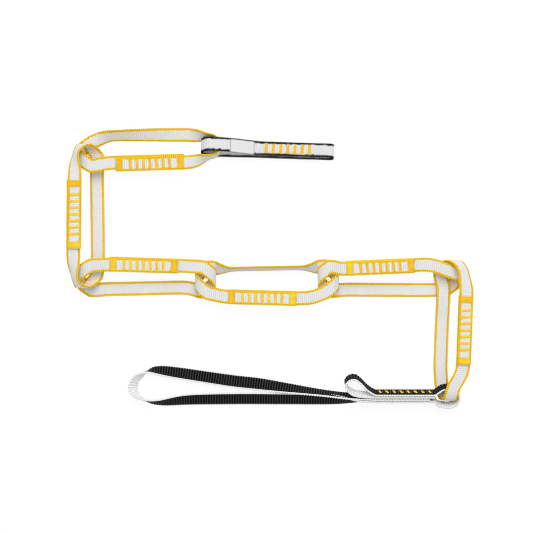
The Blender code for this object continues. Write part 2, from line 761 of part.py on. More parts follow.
def build_sling(last_joint, pivot, finishes):
    """Sling: one tape through its seam, small eye, link eye and long loop, and stitches."""
    width, through = sling_stack()
    near = SLING_SEAM_START
    far = near + SLING_SEAM_LENGTH
    sewn_near = near + SEAM_MARGIN
    sewn_far = far - SEAM_MARGIN
    loop, loop_widths = long_loop_route(far)
    pieces = [
        [stack_point(1, near - FIRST_END_LENGTH), stack_point(1, sewn_far)],
        eye_route(SMALL_EYE_SHARES, far, -1, 1, 0),
        [stack_point(0, sewn_far), stack_point(0, sewn_near)],
        eye_route(LINK_EYE_SHARES, near, 1, 0, 3),
        [stack_point(3, sewn_near), stack_point(3, sewn_far)],
        loop,
        [stack_point(2, sewn_far), stack_point(2, near + LAST_END_GAP)],
    ]
    widths = [np.tile(width, (len(piece), 1)) for piece in pieces]
    widths[-2] = loop_widths
    points = np.vstack(pieces)
    outward = np.cross(np.vstack(widths), np.gradient(points, axis=0))
    route = Route(points + last_joint, outward)
    place("sling_tape", loft(route, tape_section()), finishes["sling_tape"], pivot)

    along = np.array([-1.0, 0.0, 0.0])
    middle_u = (near + far) / 2
    face = through * TAPE_THICKNESS / 2
    upper = Patch(stack_point(0, middle_u) + face + last_joint, along, through)
    lower = Patch(stack_point(3, middle_u) - face + last_joint, along, -through)
    bars = (SLING_BAR_COUNT, SLING_BAR_SPACING, SLING_BAR_WIDTH, SLING_TACK_SPAN)
    sew_ladder("sling", upper, lower, bars, finishes["thread"], pivot)


def clear_scene():
    """Remove every object of the file."""
    for item in list(bpy.data.objects):
        bpy.data.objects.remove(item)


def centre_layout(base):
    """Move the base so that the middle of the layout's box is over the origin."""
    bpy.context.view_layer.update()
    corners = []
    for piece in bpy.data.objects:
        if piece.type == "MESH":
            corners += [piece.matrix_world @ corner.co for corner in piece.data.vertices]
    corners = np.array(corners)
    middle = (corners.min(axis=0) + corners.max(axis=0)) / 2
    base.location.x -= middle[0]
    base.location.y -= middle[1]


def main():
    """Build the chain from the third link outwards, then centre it."""
    clear_scene()
    finishes = {
        "link_tape": material("white_tape_yellow_edge", (0.82, 0.80, 0.74), 0.75),
        "end_tape": material("white_tape_black_edge", (0.80, 0.80, 0.80), 0.75),
        "sling_tape": material("black_face_tape", (0.03, 0.03, 0.03), 0.7),
        "thread": material("yellow_thread", (0.90, 0.50, 0.02), 0.6),
        "label": material("label_cloth", (0.90, 0.90, 0.90), 0.6),
    }
    places = joint_places()
    base = make_pivot("link_3_base", places[2])
    joint_3 = make_pivot("joint_3_link_2", places[2], base)
    joint_2 = make_pivot("joint_2_link_1", places[1], joint_3)
    joint_1 = make_pivot("joint_1_end_loop", places[0], joint_2)
    joint_4 = make_pivot("joint_4_link_4", places[3], base)
    joint_5 = make_pivot("joint_5_link_5", places[4], joint_4)
    joint_6 = make_pivot("joint_6_link_6", places[5], joint_5)
    joint_7 = make_pivot("joint_7_sling", places[6], joint_6)

    build_end_loop(places[0], joint_1, finishes)
    for index, pivot in enumerate((joint_2, joint_3, base, joint_4, joint_5, joint_6)):
        build_link(index, places[index], pivot, finishes)
    build_sling(places[6], joint_7, finishes)
    centre_layout(base)


main()
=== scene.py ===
"""Dressed climbing daisy chain, laid out flat on a pale floor.

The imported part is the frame. Every woven tape, row of stitches and label is
worked out again on the route of its own solid, with more stations, and gets the
weave, the edges and the sewing that the real one shows.
"""

import json
import logging
import math
from collections.abc import Callable, Sequence
from dataclasses import dataclass, field
from enum import Enum

import bpy
import numpy as np
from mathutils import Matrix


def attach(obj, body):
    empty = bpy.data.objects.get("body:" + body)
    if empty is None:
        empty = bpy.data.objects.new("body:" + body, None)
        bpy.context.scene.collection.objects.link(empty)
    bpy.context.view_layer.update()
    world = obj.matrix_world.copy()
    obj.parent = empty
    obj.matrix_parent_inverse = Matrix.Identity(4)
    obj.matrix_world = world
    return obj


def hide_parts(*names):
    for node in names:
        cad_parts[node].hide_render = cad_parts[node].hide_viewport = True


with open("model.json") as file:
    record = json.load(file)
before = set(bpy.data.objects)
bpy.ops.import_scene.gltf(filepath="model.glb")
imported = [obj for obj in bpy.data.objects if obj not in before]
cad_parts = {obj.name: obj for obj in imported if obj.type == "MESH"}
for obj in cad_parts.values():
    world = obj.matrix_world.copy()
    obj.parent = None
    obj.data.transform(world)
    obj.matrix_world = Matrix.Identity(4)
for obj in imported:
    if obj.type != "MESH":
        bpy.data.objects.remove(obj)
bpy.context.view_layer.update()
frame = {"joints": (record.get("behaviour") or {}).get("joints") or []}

LOG = logging.getLogger("daisy_chain")

Array = np.ndarray
Numbers = np.ndarray | float
Colour = tuple[float, float, float]
Span = tuple[float, float]
Level = Callable[[Array], Array]

WEAVE_ATTRIBUTE = "weave"
THREAD_ATTRIBUTE = "thread"

BELL_REACH = 2.0
SAME_PLACE_SHARE = 0.01
SIDE_BAND = (-0.1, 0.1)
NOISE_DETAIL = 2.0
CLEAR_WHITE = (1.0, 1.0, 1.0, 1.0)
SHEEN_ROUGHNESS = 0.45


class Slot(Enum):
    """Material slots of the record, one for each kind of piece."""

    LINK_TAPE = "white_tape_yellow_edge"
    END_TAPE = "white_tape_black_edge"
    SLING_TAPE = "black_face_tape"
    THREAD = "yellow_thread"
    LABEL = "label_cloth"


@dataclass(frozen=True)
class Gauge:
    """Tape, thread and clearances that every sub-assembly shares, in metres."""

    width: float = 0.0118
    thickness: float = 0.0016
    layer_gap: float = 0.0005
    crossing_gap: float = 0.0006
    thread_thickness: float = 0.0004
    thread_gap: float = 0.0002
    floor_gap: float = 0.0002

    @property
    def layer_step(self) -> float:
        """From the middle of one seam layer to the middle of the next."""
        return self.thickness + self.layer_gap

    @property
    def crossing_step(self) -> float:
        """Height that one tape under another lifts it by."""
        return self.thickness + self.crossing_gap

    @property
    def low_level(self) -> float:
        """Middle height of a tape that lies on the floor."""
        return self.thickness / 2

    @property
    def sewn_low_level(self) -> float:
        """Middle height of a tape with bobbin thread between it and the floor."""
        return self.low_level + self.thread_thickness + self.thread_gap + self.floor_gap


GAUGE = Gauge()
UP = np.array([0.0, 0.0, 1.0])


def smoothstep(share: Array) -> Array:
    """Ease from zero to one with level ends: 3 t^2 - 2 t^3, t held within 0 and 1.

    Args:
        share: Places between the two ends.

    Returns:
        The eased shares.
    """
    held = np.clip(share, 0.0, 1.0)
    return held * held * (3.0 - 2.0 * held)


def heading_matrix(degrees: float) -> Array:
    """Turn about the vertical.

    Args:
        degrees: Angle, counter-clockwise from above.

    Returns:
        The rotation as a 3 by 3 matrix.
    """
    angle = math.radians(degrees)
    cosine, sine = math.cos(angle), math.sin(angle)
    return np.array([[cosine, -sine, 0.0], [sine, cosine, 0.0], [0.0, 0.0, 1.0]])


def catmull_rom(rows: Array, steps: int) -> Array:
    """Smooth curve through rows; each stretch is the cubic fixed by its four nearest rows.

    Args:
        rows: Points to pass through; the first and the last only steer.
        steps: Stations in each stretch.

    Returns:
        The stations, in order, with the last row that is passed through.
    """
    before, here, there, after = (rows[k : len(rows) - 3 + k, None, :] for k in range(4))
    share = (np.arange(steps) / steps)[None, :, None]
    slope = there - before
    bend = 2.0 * before - 5.0 * here + 4.0 * there - after
    twist = 3.0 * here - before - 3.0 * there + after
    curve = here + (slope * share + bend * share**2 + twist * share**3) / 2.0
    return np.vstack([curve.reshape(-1, rows.shape[1]), rows[-2:-1]])


def unit(rows: Array) -> Array:
    """Rows scaled to length one."""
    return rows / np.linalg.norm(rows, axis=-1, keepdims=True)


def distances(points: Array) -> Array:
    """Distance of each point of a line from its start."""
    steps = np.linalg.norm(np.diff(points, axis=0), axis=1)
    return np.concatenate([[0.0], np.cumsum(steps)])


def flat_section(face_points: int, power: int) -> tuple[Array, Array, Array]:
    """Places round a flat section: shares of the half width, of the half thickness, and side.

    Each face has places at the sine of even angles, so that they crowd at the
    edges. The thickness share is (1 - |x|^n)^(1/n). The side is +1 on the outer
    face and -1 on the inner one.

    Args:
        face_points: Number of places on the outer face, with its two edges.
        power: The n of the formula; the higher, the squarer the edges.

    Returns:
        The three rows.
    """
    face = np.sin(np.linspace(-1.0, 1.0, face_points) * math.pi / 2.0)
    across = np.concatenate([face, face[-2:0:-1]])
    side = np.concatenate([np.ones(face_points), -np.ones(face_points - 2)])
    return across, np.clip(1.0 - np.abs(across) ** power, 0.0, 1.0) ** (1.0 / power), side


@dataclass(frozen=True)
class Stretch:
    """Part of a tape's centre line, row by row, with its outward side and its rulings."""

    points: Array
    outward: Array
    rulings: Array

    def reversed(self) -> "Stretch":
        """The same stretch, run the other way."""
        return Stretch(self.points[::-1], self.outward[::-1], self.rulings[::-1])

    @staticmethod
    def joined(stretches: Sequence["Stretch"]) -> "Stretch":
        """One stretch from several in a row."""
        columns = zip(*((part.points, part.outward, part.rulings) for part in stretches))
        return Stretch(*(np.vstack(column) for column in columns))


def running_mean(columns: Array, spacing: float, softness: float) -> Array:
    """Rows of numbers eased by a bell exp(-(d / softness)^2), mirrored past their ends.

    Args:
        columns: One row for each quantity, evenly spaced.
        spacing: Distance between two places.
        softness: Half width of the bell.

    Returns:
        The eased rows.
    """
    reach = math.ceil(BELL_REACH * softness / spacing)
    bell = np.exp(-(((np.arange(-reach, reach + 1) * spacing) / softness) ** 2))
    near = 2.0 * columns[:, :1] - columns[:, reach:0:-1]
    far = 2.0 * columns[:, -1:] - columns[:, -2 : -reach - 2 : -1]
    padded = np.hstack([near, columns, far])
    return np.stack([np.convolve(row, bell / bell.sum(), "valid") for row in padded])


@dataclass(frozen=True)
class Route:
    """Centre line of a tape with, at each station, its width's and its face's direction.

    The slack tells where a station lies: 1 and more where the tape hangs freely in
    its curve, 0 and less where it is held, and the lower, the deeper in the turn.
    """

    points: Array
    across: Array
    outward: Array
    slack: Numbers = 0.0

    @staticmethod
    def along(
        points: Array, outward: Array, rulings: Array | None = None, slack: Numbers = 0.0
    ) -> "Route":
        """Route whose section lies square to it, or along its rulings.

        The run at a station is the mean of the steps before and after it. A ruled
        face's normal is ruling x run, and the ruling is stretched so that the tape
        keeps its width square to the run.

        Args:
            points: Stations of the centre line.
            outward: Rough outward direction at each station.
            rulings: Direction in which the tape is straight across, if it is twisted.
            slack: How freely the tape hangs at each station.

        Returns:
            The route.
        """
        ahead = unit(np.diff(points, axis=0))
        run = unit(np.vstack([ahead[:1], ahead[:-1] + ahead[1:], ahead[-1:]]))
        if rulings is None:
            face = outward - (outward * run).sum(axis=1, keepdims=True) * run
        else:
            face = np.cross(rulings, run)
            face = face * np.sign((face * outward).sum(axis=1, keepdims=True))
        face = unit(face)
        across = np.cross(run, face)
        if rulings is not None:
            across = rulings / (rulings * across).sum(axis=1, keepdims=True)
        return Route(points, across, face, slack)

    def turned(self, matrix: Array, origin: Array) -> "Route":
        """The route turned by a matrix and moved to an origin."""
        across, outward = self.across @ matrix.T, self.outward @ matrix.T
        return Route(self.points @ matrix.T + origin, across, outward, self.slack)

    def even(self, spacing: float, softness: float, slack_softness: float) -> "Route":
        """The route at even steps, its kinks eased by bell-shaped running means.

        A narrow running mean is blended with a wide one by the slack, held within 0 and 1.

        Args:
            spacing: Distance between stations, which is fitted to the length.
            softness: Half width of the narrow running mean.
            slack_softness: Half width of the wide one.

        Returns:
            The evenly spaced route.
        """
        distance = distances(self.points)
        kept = np.diff(distance, prepend=-spacing) > spacing * SAME_PLACE_SHARE
        places = np.linspace(0.0, distance[-1], round(distance[-1] / spacing) + 1)
        slack = np.broadcast_to(self.slack, len(self.points))[:, None]
        rows = np.hstack([self.points, self.across, self.outward, slack])
        columns = np.stack([np.interp(places, distance[kept], column) for column in rows[kept].T])
        narrow = running_mean(columns, spacing, softness)
        wide = running_mean(columns, spacing, slack_softness)
        even_slack = columns[-1]
        eased = narrow + (wide - narrow) * smoothstep(even_slack)
        return Route(eased[:3].T, eased[3:6].T, unit(eased[6:9].T), even_slack)


@dataclass(frozen=True)
class Patch:
    """Flat patch on a seam: its middle and the directions of the tape there."""

    middle: Array
    along: Array
    outward: Array

    @staticmethod
    def facing(middle: Array, along: Array, outward: Array) -> "Patch":
        """Patch whose outward side is made square to its run."""
        run = unit(along)
        return Patch(middle, run, unit(outward - outward @ run * run))

    def turned(self, matrix: Array, origin: Array) -> "Patch":
        """The patch turned by a matrix and moved to an origin."""
        return Patch(matrix @ self.middle + origin, matrix @ self.along, matrix @ self.outward)

    def spots(self, local: Array) -> Array:
        """World points of rows that give places along, across and above the patch."""
        axes = np.stack([self.along, np.cross(self.along, self.outward), self.outward])
        return self.middle + local @ axes


@dataclass(frozen=True)
class Shell:
    """Closed surface as points, quads, end caps and one pattern vector for each point."""

    points: Array
    quads: Array
    caps: tuple[tuple[int, ...], ...]
    pattern: Array

    @staticmethod
    def wrapped(grid: Array, pattern: Array) -> "Shell":
        """Grid of rings, one a row, closed round each ring and capped at both ends.

        The faces are turned to point out of the enclosed volume, which is a sixth
        of the sum of a . (b x c) over the corners of the triangles.

        Args:
            grid: Points as rows, ring places and three coordinates.
            pattern: Pattern vectors in the same layout.

        Returns:
            The shell.
        """
        rows, columns = grid.shape[:2]
        index = np.arange(rows * columns).reshape(rows, columns)
        beside = np.roll(index, -1, axis=1)
        quads = np.stack([index[:-1], beside[:-1], beside[1:], index[1:]], axis=-1).reshape(-1, 4)
        first, last = index[0][::-1], index[-1]
        points = grid.reshape(-1, 3)
        a, b, c, d = ((points - points.mean(axis=0))[quads]).transpose(1, 0, 2)
        if (a * (np.cross(b, c) + np.cross(c, d))).sum() < 0.0:
            quads, first, last = quads[:, ::-1], first[::-1], last[::-1]
        caps = (tuple(first.tolist()), tuple(last.tolist()))
        return Shell(points, quads, caps, pattern.reshape(-1, 3))

    @staticmethod
    def swept(route: Route, reach: Array, height: Array, facing: Array, along: Array) -> "Shell":
        """Section carried along a route: centre + reach * across + height * outward.

        Args:
            route: Line that the section is carried along.
            reach: Places across, one row for each station or one for all.
            height: Places outward, in the same layout.
            facing: Share outward of each point.
            along: Distance of each station from the start, as a column.

        Returns:
            The closed shell, with (reach, facing, along) as pattern.
        """
        grid = (
            route.points[:, None]
            + reach[..., None] * route.across[:, None]
            + height[..., None] * route.outward[:, None]
        )
        return Shell.wrapped(grid, np.stack(np.broadcast_arrays(reach, facing, along), axis=-1))

    @staticmethod
    def gathered(shells: Sequence["Shell"]) -> "Shell":
        """Several shells as one.

        Args:
            shells: The shells.

        Returns:
            One shell that holds them all, in order.
        """
        starts = np.cumsum([0] + [len(shell.points) for shell in shells[:-1]])
        caps = [
            tuple(corner + int(start) for corner in cap)
            for shell, start in zip(shells, starts)
            for cap in shell.caps
        ]
        return Shell(
            np.vstack([shell.points for shell in shells]),
            np.vstack([shell.quads + start for shell, start in zip(shells, starts)]),
            tuple(caps),
            np.vstack([shell.pattern for shell in shells]),
        )


@dataclass(frozen=True)
class Weave:
    """Relief of a woven tape: cross ribs on its faces, beads along its edges.

    The groove's half width is a share of the half width of the tape, and the turn's
    start and span are slacks.
    """

    rib_period: float = 0.0017
    rib_height: float = 0.00005
    bead_period: float = 0.0017
    bead_height: float = 0.00012
    scallop: float = 0.00032
    scallop_power: int = 8
    held_calm: float = 0.0
    turn_start: float = -0.95
    turn_span: float = 0.9
    edge_width: float = 0.0019
    edge_steepness: float = 3.0
    groove_depth: float = 0.00006
    groove_share: float = 0.05
    stations_per_rib: int = 6
    face_points: int = 17
    section_power: int = 6
    softness: float = 0.0007
    slack_softness: float = 0.0055
    sealed_length: float = 0.0005
    sealed_thinning: float = 0.8

    @property
    def spacing(self) -> float:
        """Distance between stations."""
        return self.rib_period / self.stations_per_rib

    def woven(self, route: Route) -> Shell:
        """Tape along a route, from two parameters: distance s along it and place x across it.

        Its half thickness is T/2 (1 - |x|^n)^(1/n), with the section power n, plus
        rib height times cos(2 pi s / rib period) on the faces, less a bell-shaped
        groove beside each edge, plus bead height times cos(2 pi s / bead period) on
        the edges, where the two faces are half a period apart. The edges also swing
        sideways by scallop times cos(2 pi s / bead period) |x|^m, with the scallop
        power m. Where the tape is held by its neighbour, beads and swings are
        calmer. The last stretch at each cut end thins as a quarter circle.

        Args:
            route: Centre line of the tape.

        Returns:
            The closed shell, with (metres across, share outward, metres along) as
            pattern. The share outward falls to a half in the depth of a turn, which
            marks where the tape's material paints a reflection of the edges' light.
        """
        even = route.even(self.spacing, self.softness, self.slack_softness)
        along = distances(even.points)[:, None]
        slack = even.slack[:, None]
        section = flat_section(self.face_points, self.section_power)
        across, swell, side = (row[None, :] for row in section)
        edge_start = 1.0 - self.edge_width / (GAUGE.width / 2.0)
        past_edge = np.abs(across) - edge_start
        on_edge = smoothstep(past_edge / (1.0 - edge_start) * self.edge_steepness)
        rib = self.rib_height * np.cos(2.0 * math.pi * along / self.rib_period) * (1.0 - on_edge)
        groove = self.groove_depth * np.exp(-((past_edge / self.groove_share) ** 2))
        calm = 1.0 - self.held_calm * (1.0 - smoothstep(slack))
        half_turn = np.where(side > 0.0, 0.5, 0.0)
        bead = np.cos(2.0 * math.pi * (along / self.bead_period + half_turn)) * calm
        relief = rib - groove + self.bead_height * bead * on_edge * swell
        from_end = np.minimum(along, along[-1] - along) / self.sealed_length
        sealed = np.sqrt(1.0 - self.sealed_thinning * np.clip(1.0 - from_end, 0.0, 1.0) ** 2)
        height = side * (GAUGE.thickness / 2.0 * swell * sealed + relief * (swell > 0.0))
        swing = self.scallop * np.cos(2.0 * math.pi * along / self.bead_period) * calm
        swing = np.sign(across) * swing * np.abs(across) ** self.scallop_power
        reach = across * GAUGE.width / 2.0 + swing
        # Depth of each turn, which the material reads to paint reflected light from the edges on
        # the inner face.
        turned = smoothstep((self.turn_start - slack) / self.turn_span)
        return Shell.swept(even, reach, height, side * swell * (1.0 - turned / 2.0), along)


@dataclass(frozen=True)
class SewingThread:
    """Round thread, carried along a path."""

    radius: float = 0.00022
    sides: int = 6

    def tube(self, patch: Patch, local: Array) -> Shell:
        """Tube along a path: rings of radius r at even angles, square to the run.

        Args:
            patch: Face that the thread lies on.
            local: Places of its middle along, across and above the patch.

        Returns:
            The closed shell, with (cosine and sine of the ring angle, metres along)
            as pattern.
        """
        path = patch.spots(local)
        run = unit(np.gradient(path, axis=0))
        beside = unit(np.cross(run, patch.outward))
        above = np.cross(beside, run)
        angle = np.arange(self.sides) * 2.0 * math.pi / self.sides
        cosine, sine = np.cos(angle)[None, :, None], np.sin(angle)[None, :, None]
        grid = path[:, None, :] + self.radius * (beside[:, None] * cosine + above[:, None] * sine)
        distance = distances(path)[:, None, None]
        pattern = np.concatenate(np.broadcast_arrays(cosine, sine, distance), axis=-1)
        return Shell.wrapped(grid, pattern)


@dataclass(frozen=True)
class Tack:
    """Dense zigzag of thread across a seam: a wide tack or one bar of a ladder."""

    length: float
    span: float
    pitch: float = 0.00030
    arch: float = 0.00020
    points_per_leg: int = 6
    unevenness: float = 0.00012
    slant: float = 0.0
    ripple: float = 0.00018
    ripple_period: float = 0.0017
    ripple_phases: float = 6.0

    def path(self, centre: float, rng: np.random.Generator) -> Array:
        """Middle of the thread on the patch, from p = 0 to the number of legs.

        Along the seam it is half the length times the triangle wave w(p), across it
        grows evenly from one side to the other, and its height is the arch times
        1 - w^4, so that each leg dips into the tape at its ends. The half length
        swells by ripple times cos(2 pi across / ripple period + a random phase). Each
        turn is moved along by a small random amount, and the tack may slant.

        Args:
            centre: Place of the tack along the patch.
            rng: Seeded source of the small differences between stitches.

        Returns:
            Rows of places along, across and above the patch.
        """
        legs = 2 * round(self.span / self.pitch / 2.0)
        phase = np.linspace(0.0, legs, legs * self.points_per_leg + 1)
        wave = 2.0 * np.abs(np.mod(phase, 2.0) - 1.0) - 1.0
        shifts = rng.normal(0.0, self.unevenness, legs + 1)
        lean = self.slant + rng.normal(0.0, self.unevenness)
        drift = np.interp(phase, np.arange(legs + 1), shifts)
        across = self.span * (phase / legs - 0.5)
        turn = 2.0 * math.pi * across / self.ripple_period + rng.uniform(0.0, self.ripple_phases)
        half_length = self.length / 2.0 + self.ripple * np.cos(turn)
        along = centre + half_length * wave + drift + lean * (phase / legs - 0.5)
        return np.stack([along, across, self.arch * (1.0 - wave**4)], axis=1)


@dataclass(frozen=True)
class Ladder:
    """Row of bar tacks joined by one running thread."""

    count: int
    spacing: float
    bar: Tack
    thread: SewingThread = SewingThread()
    running: SewingThread = SewingThread(radius=0.00013)
    rail_inset: float = 0.0005
    rail_unevenness: float = 0.0001
    hop_points: int = 9
    hop_height: float = 0.00018

    def centres(self) -> Array:
        """Places of the bars along the patch."""
        return (np.arange(self.count) - (self.count - 1) / 2.0) * self.spacing

    def sewn(self, patch: Patch, rng: np.random.Generator) -> Shell:
        """Thread of all bars on a patch, with a low arch of running thread to each next bar.

        Args:
            patch: Flat face that is sewn.
            rng: Seeded source of the small differences between stitches.

        Returns:
            One shell with every bar and hop.
        """
        centres = self.centres()
        shells = [self.thread.tube(patch, self.bar.path(centre, rng)) for centre in centres]
        share = np.linspace(0.0, 1.0, self.hop_points)
        lift = self.hop_height * (1.0 - (2.0 * share - 1.0) ** 2)
        rail = self.bar.span / 2.0 - self.rail_inset
        for near, far in zip(centres, centres[1:]):
            beside = np.full(self.hop_points, rail + rng.normal(0.0, self.rail_unevenness))
            hop = np.stack([near + (far - near) * share, beside, lift], axis=1)
            shells.append(self.running.tube(patch, hop))
        return Shell.gathered(shells)


class Value:
    """Number socket whose arithmetic adds Math nodes to its tree."""

    def __init__(self, tree: "ShaderTree", socket: bpy.types.NodeSocket) -> None:
        """Wrap a socket of a tree."""
        self.tree = tree
        self.socket = socket

    def math(self, operation: str, *others: "Value | float", clamped: bool = False) -> "Value":
        """Math node on this value and others.

        Args:
            operation: Name of the node's operation.
            others: Second and third inputs.
            clamped: Whether the result is held within 0 and 1.

        Returns:
            The result.
        """
        return self.tree.math(operation, self, *others, clamped=clamped)

    def __add__(self, other: "Value | float") -> "Value":
        """Sum."""
        return self.math("ADD", other)

    __radd__ = __add__

    def __mul__(self, other: "Value | float") -> "Value":
        """Product."""
        return self.math("MULTIPLY", other)

    __rmul__ = __mul__

    def __sub__(self, other: "Value | float") -> "Value":
        """Difference."""
        return self.math("SUBTRACT", other)

    def __rsub__(self, other: float) -> "Value":
        """Difference from a number."""
        return self.tree.math("SUBTRACT", other, self)

    def __truediv__(self, other: "Value | float") -> "Value":
        """Quotient."""
        return self.math("DIVIDE", other)

    def __pow__(self, other: "Value | float") -> "Value":
        """Power."""
        return self.math("POWER", other)

    def __mod__(self, other: "Value | float") -> "Value":
        """Remainder that is never negative."""
        return self.math("FLOORED_MODULO", other)

    def __abs__(self) -> "Value":
        """Size without sign."""
        return self.math("ABSOLUTE")

    def clamped(self) -> "Value":
        """The value held within 0 and 1."""
        return self.math("ADD", 0.0, clamped=True)

    def ramp(self, start: float, end: float) -> "Value":
        """Zero before start, one after end, straight between them."""
        return ((self - start) / (end - start)).clamped()

    def between(self, low: float, high: float) -> "Value":
        """Low where the value is zero, high where it is one, straight between them."""
        return low + self * (high - low)

    def arches(self) -> "Value":
        """Arch |sin(pi x)| over each whole step of the value."""
        return abs((self * math.pi).math("SINE"))


class ShaderTree:
    """Node tree of one material, emptied and ready for a surface."""

    def __init__(self, tree: bpy.types.NodeTree) -> None:
        """Empty the tree."""
        self.tree = tree
        tree.nodes.clear()

    def node(
        self, kind: str, settings: dict | None = None, sockets: dict | None = None
    ) -> bpy.types.Node:
        """Add a node: its settings are set first, then its sockets by identifier.

        Args:
            kind: Node type.
            settings: Settings of the node by name.
            sockets: Values, sockets or wrapped values by socket identifier.

        Returns:
            The node.
        """
        made = self.tree.nodes.new(kind)
        for name, setting in (settings or {}).items():
            setattr(made, name, setting)
        inputs = {socket.identifier: socket for socket in made.inputs}
        for identifier, given in (sockets or {}).items():
            source = given.socket if isinstance(given, Value) else given
            if isinstance(source, bpy.types.NodeSocket):
                self.tree.links.new(source, inputs[identifier])
            else:
                inputs[identifier].default_value = source
        return made

    def math(self, operation: str, *terms: "Value | float", clamped: bool = False) -> Value:
        """Math node on one to three terms.

        Args:
            operation: Name of the node's operation.
            terms: Its inputs.
            clamped: Whether the result is held within 0 and 1.

        Returns:
            The result.
        """
        names = ("Value", "Value_001", "Value_002")
        settings = {"operation": operation, "use_clamp": clamped}
        made = self.node("ShaderNodeMath", settings, dict(zip(names, terms)))
        return Value(self, made.outputs[0])

    def mix(self, factor: Value, low: object, high: object) -> bpy.types.NodeSocket:
        """Colour between two colours.

        Args:
            factor: Share of the second colour.
            low: First colour or its socket.
            high: Second colour or its socket.

        Returns:
            The colour's socket.
        """
        ends = [(*end, 1.0) if isinstance(end, tuple) else end for end in (low, high)]
        sockets = {"Factor_Float": factor, "A_Color": ends[0], "B_Color": ends[1]}
        made = self.node("ShaderNodeMix", {"data_type": "RGBA"}, sockets)
        return next(socket for socket in made.outputs if socket.identifier == "Result_Color")

    def parts(self, vector: bpy.types.NodeSocket) -> tuple[Value, ...]:
        """The three numbers of a vector."""
        made = self.node("ShaderNodeSeparateXYZ", sockets={"Vector": vector})
        return tuple(Value(self, socket) for socket in made.outputs)

    def attribute(self, name: str) -> bpy.types.NodeSocket:
        """Pattern vector of the mesh."""
        settings = {"attribute_type": "GEOMETRY", "attribute_name": name}
        return self.node("ShaderNodeAttribute", settings).outputs["Vector"]

    def noise(self, scale: float) -> Value:
        """Cloudy noise from 0 to 1 over object coordinates.

        Args:
            scale: How many clouds there are to a metre, roughly.

        Returns:
            The noise.
        """
        place = self.node("ShaderNodeTexCoord").outputs["Object"]
        sockets = {"Vector": place, "Scale": scale, "Detail": NOISE_DETAIL}
        return Value(self, self.node("ShaderNodeTexNoise", sockets=sockets).outputs["Fac"])

    def surface(
        self,
        colour: bpy.types.NodeSocket,
        roughness: float,
        height: Value,
        relief: float,
        sheen: float,
        specular: float,
    ) -> None:
        """Finish the tree with a cloth surface.

        Args:
            colour: Base colour.
            roughness: Roughness.
            height: Fine relief from 0 to 1.
            relief: Depth of the fine relief in metres.
            sheen: Weight of the cloth's sheen.
            specular: Strength of the mirrored light.
        """
        depth = {"Strength": 1.0, "Distance": relief, "Height": height}
        bump = self.node("ShaderNodeBump", sockets=depth)
        sockets = {
            "Base Color": colour,
            "Roughness": roughness,
            "Normal": bump.outputs["Normal"],
            "Sheen Weight": sheen,
            "Sheen Roughness": SHEEN_ROUGHNESS,
            "Specular IOR Level": specular,
        }
        shader = self.node("ShaderNodeBsdfPrincipled", sockets=sockets)
        self.node("ShaderNodeOutputMaterial", sockets={"Surface": shader.outputs["BSDF"]})


def new_material(name: str) -> tuple[bpy.types.Material, ShaderTree]:
    """Material with an empty tree.

    Args:
        name: Name of the material.

    Returns:
        The material and its tree.
    """
    made = bpy.data.materials.new(name)
    made.use_nodes = True
    return made, ShaderTree(made.node_tree)


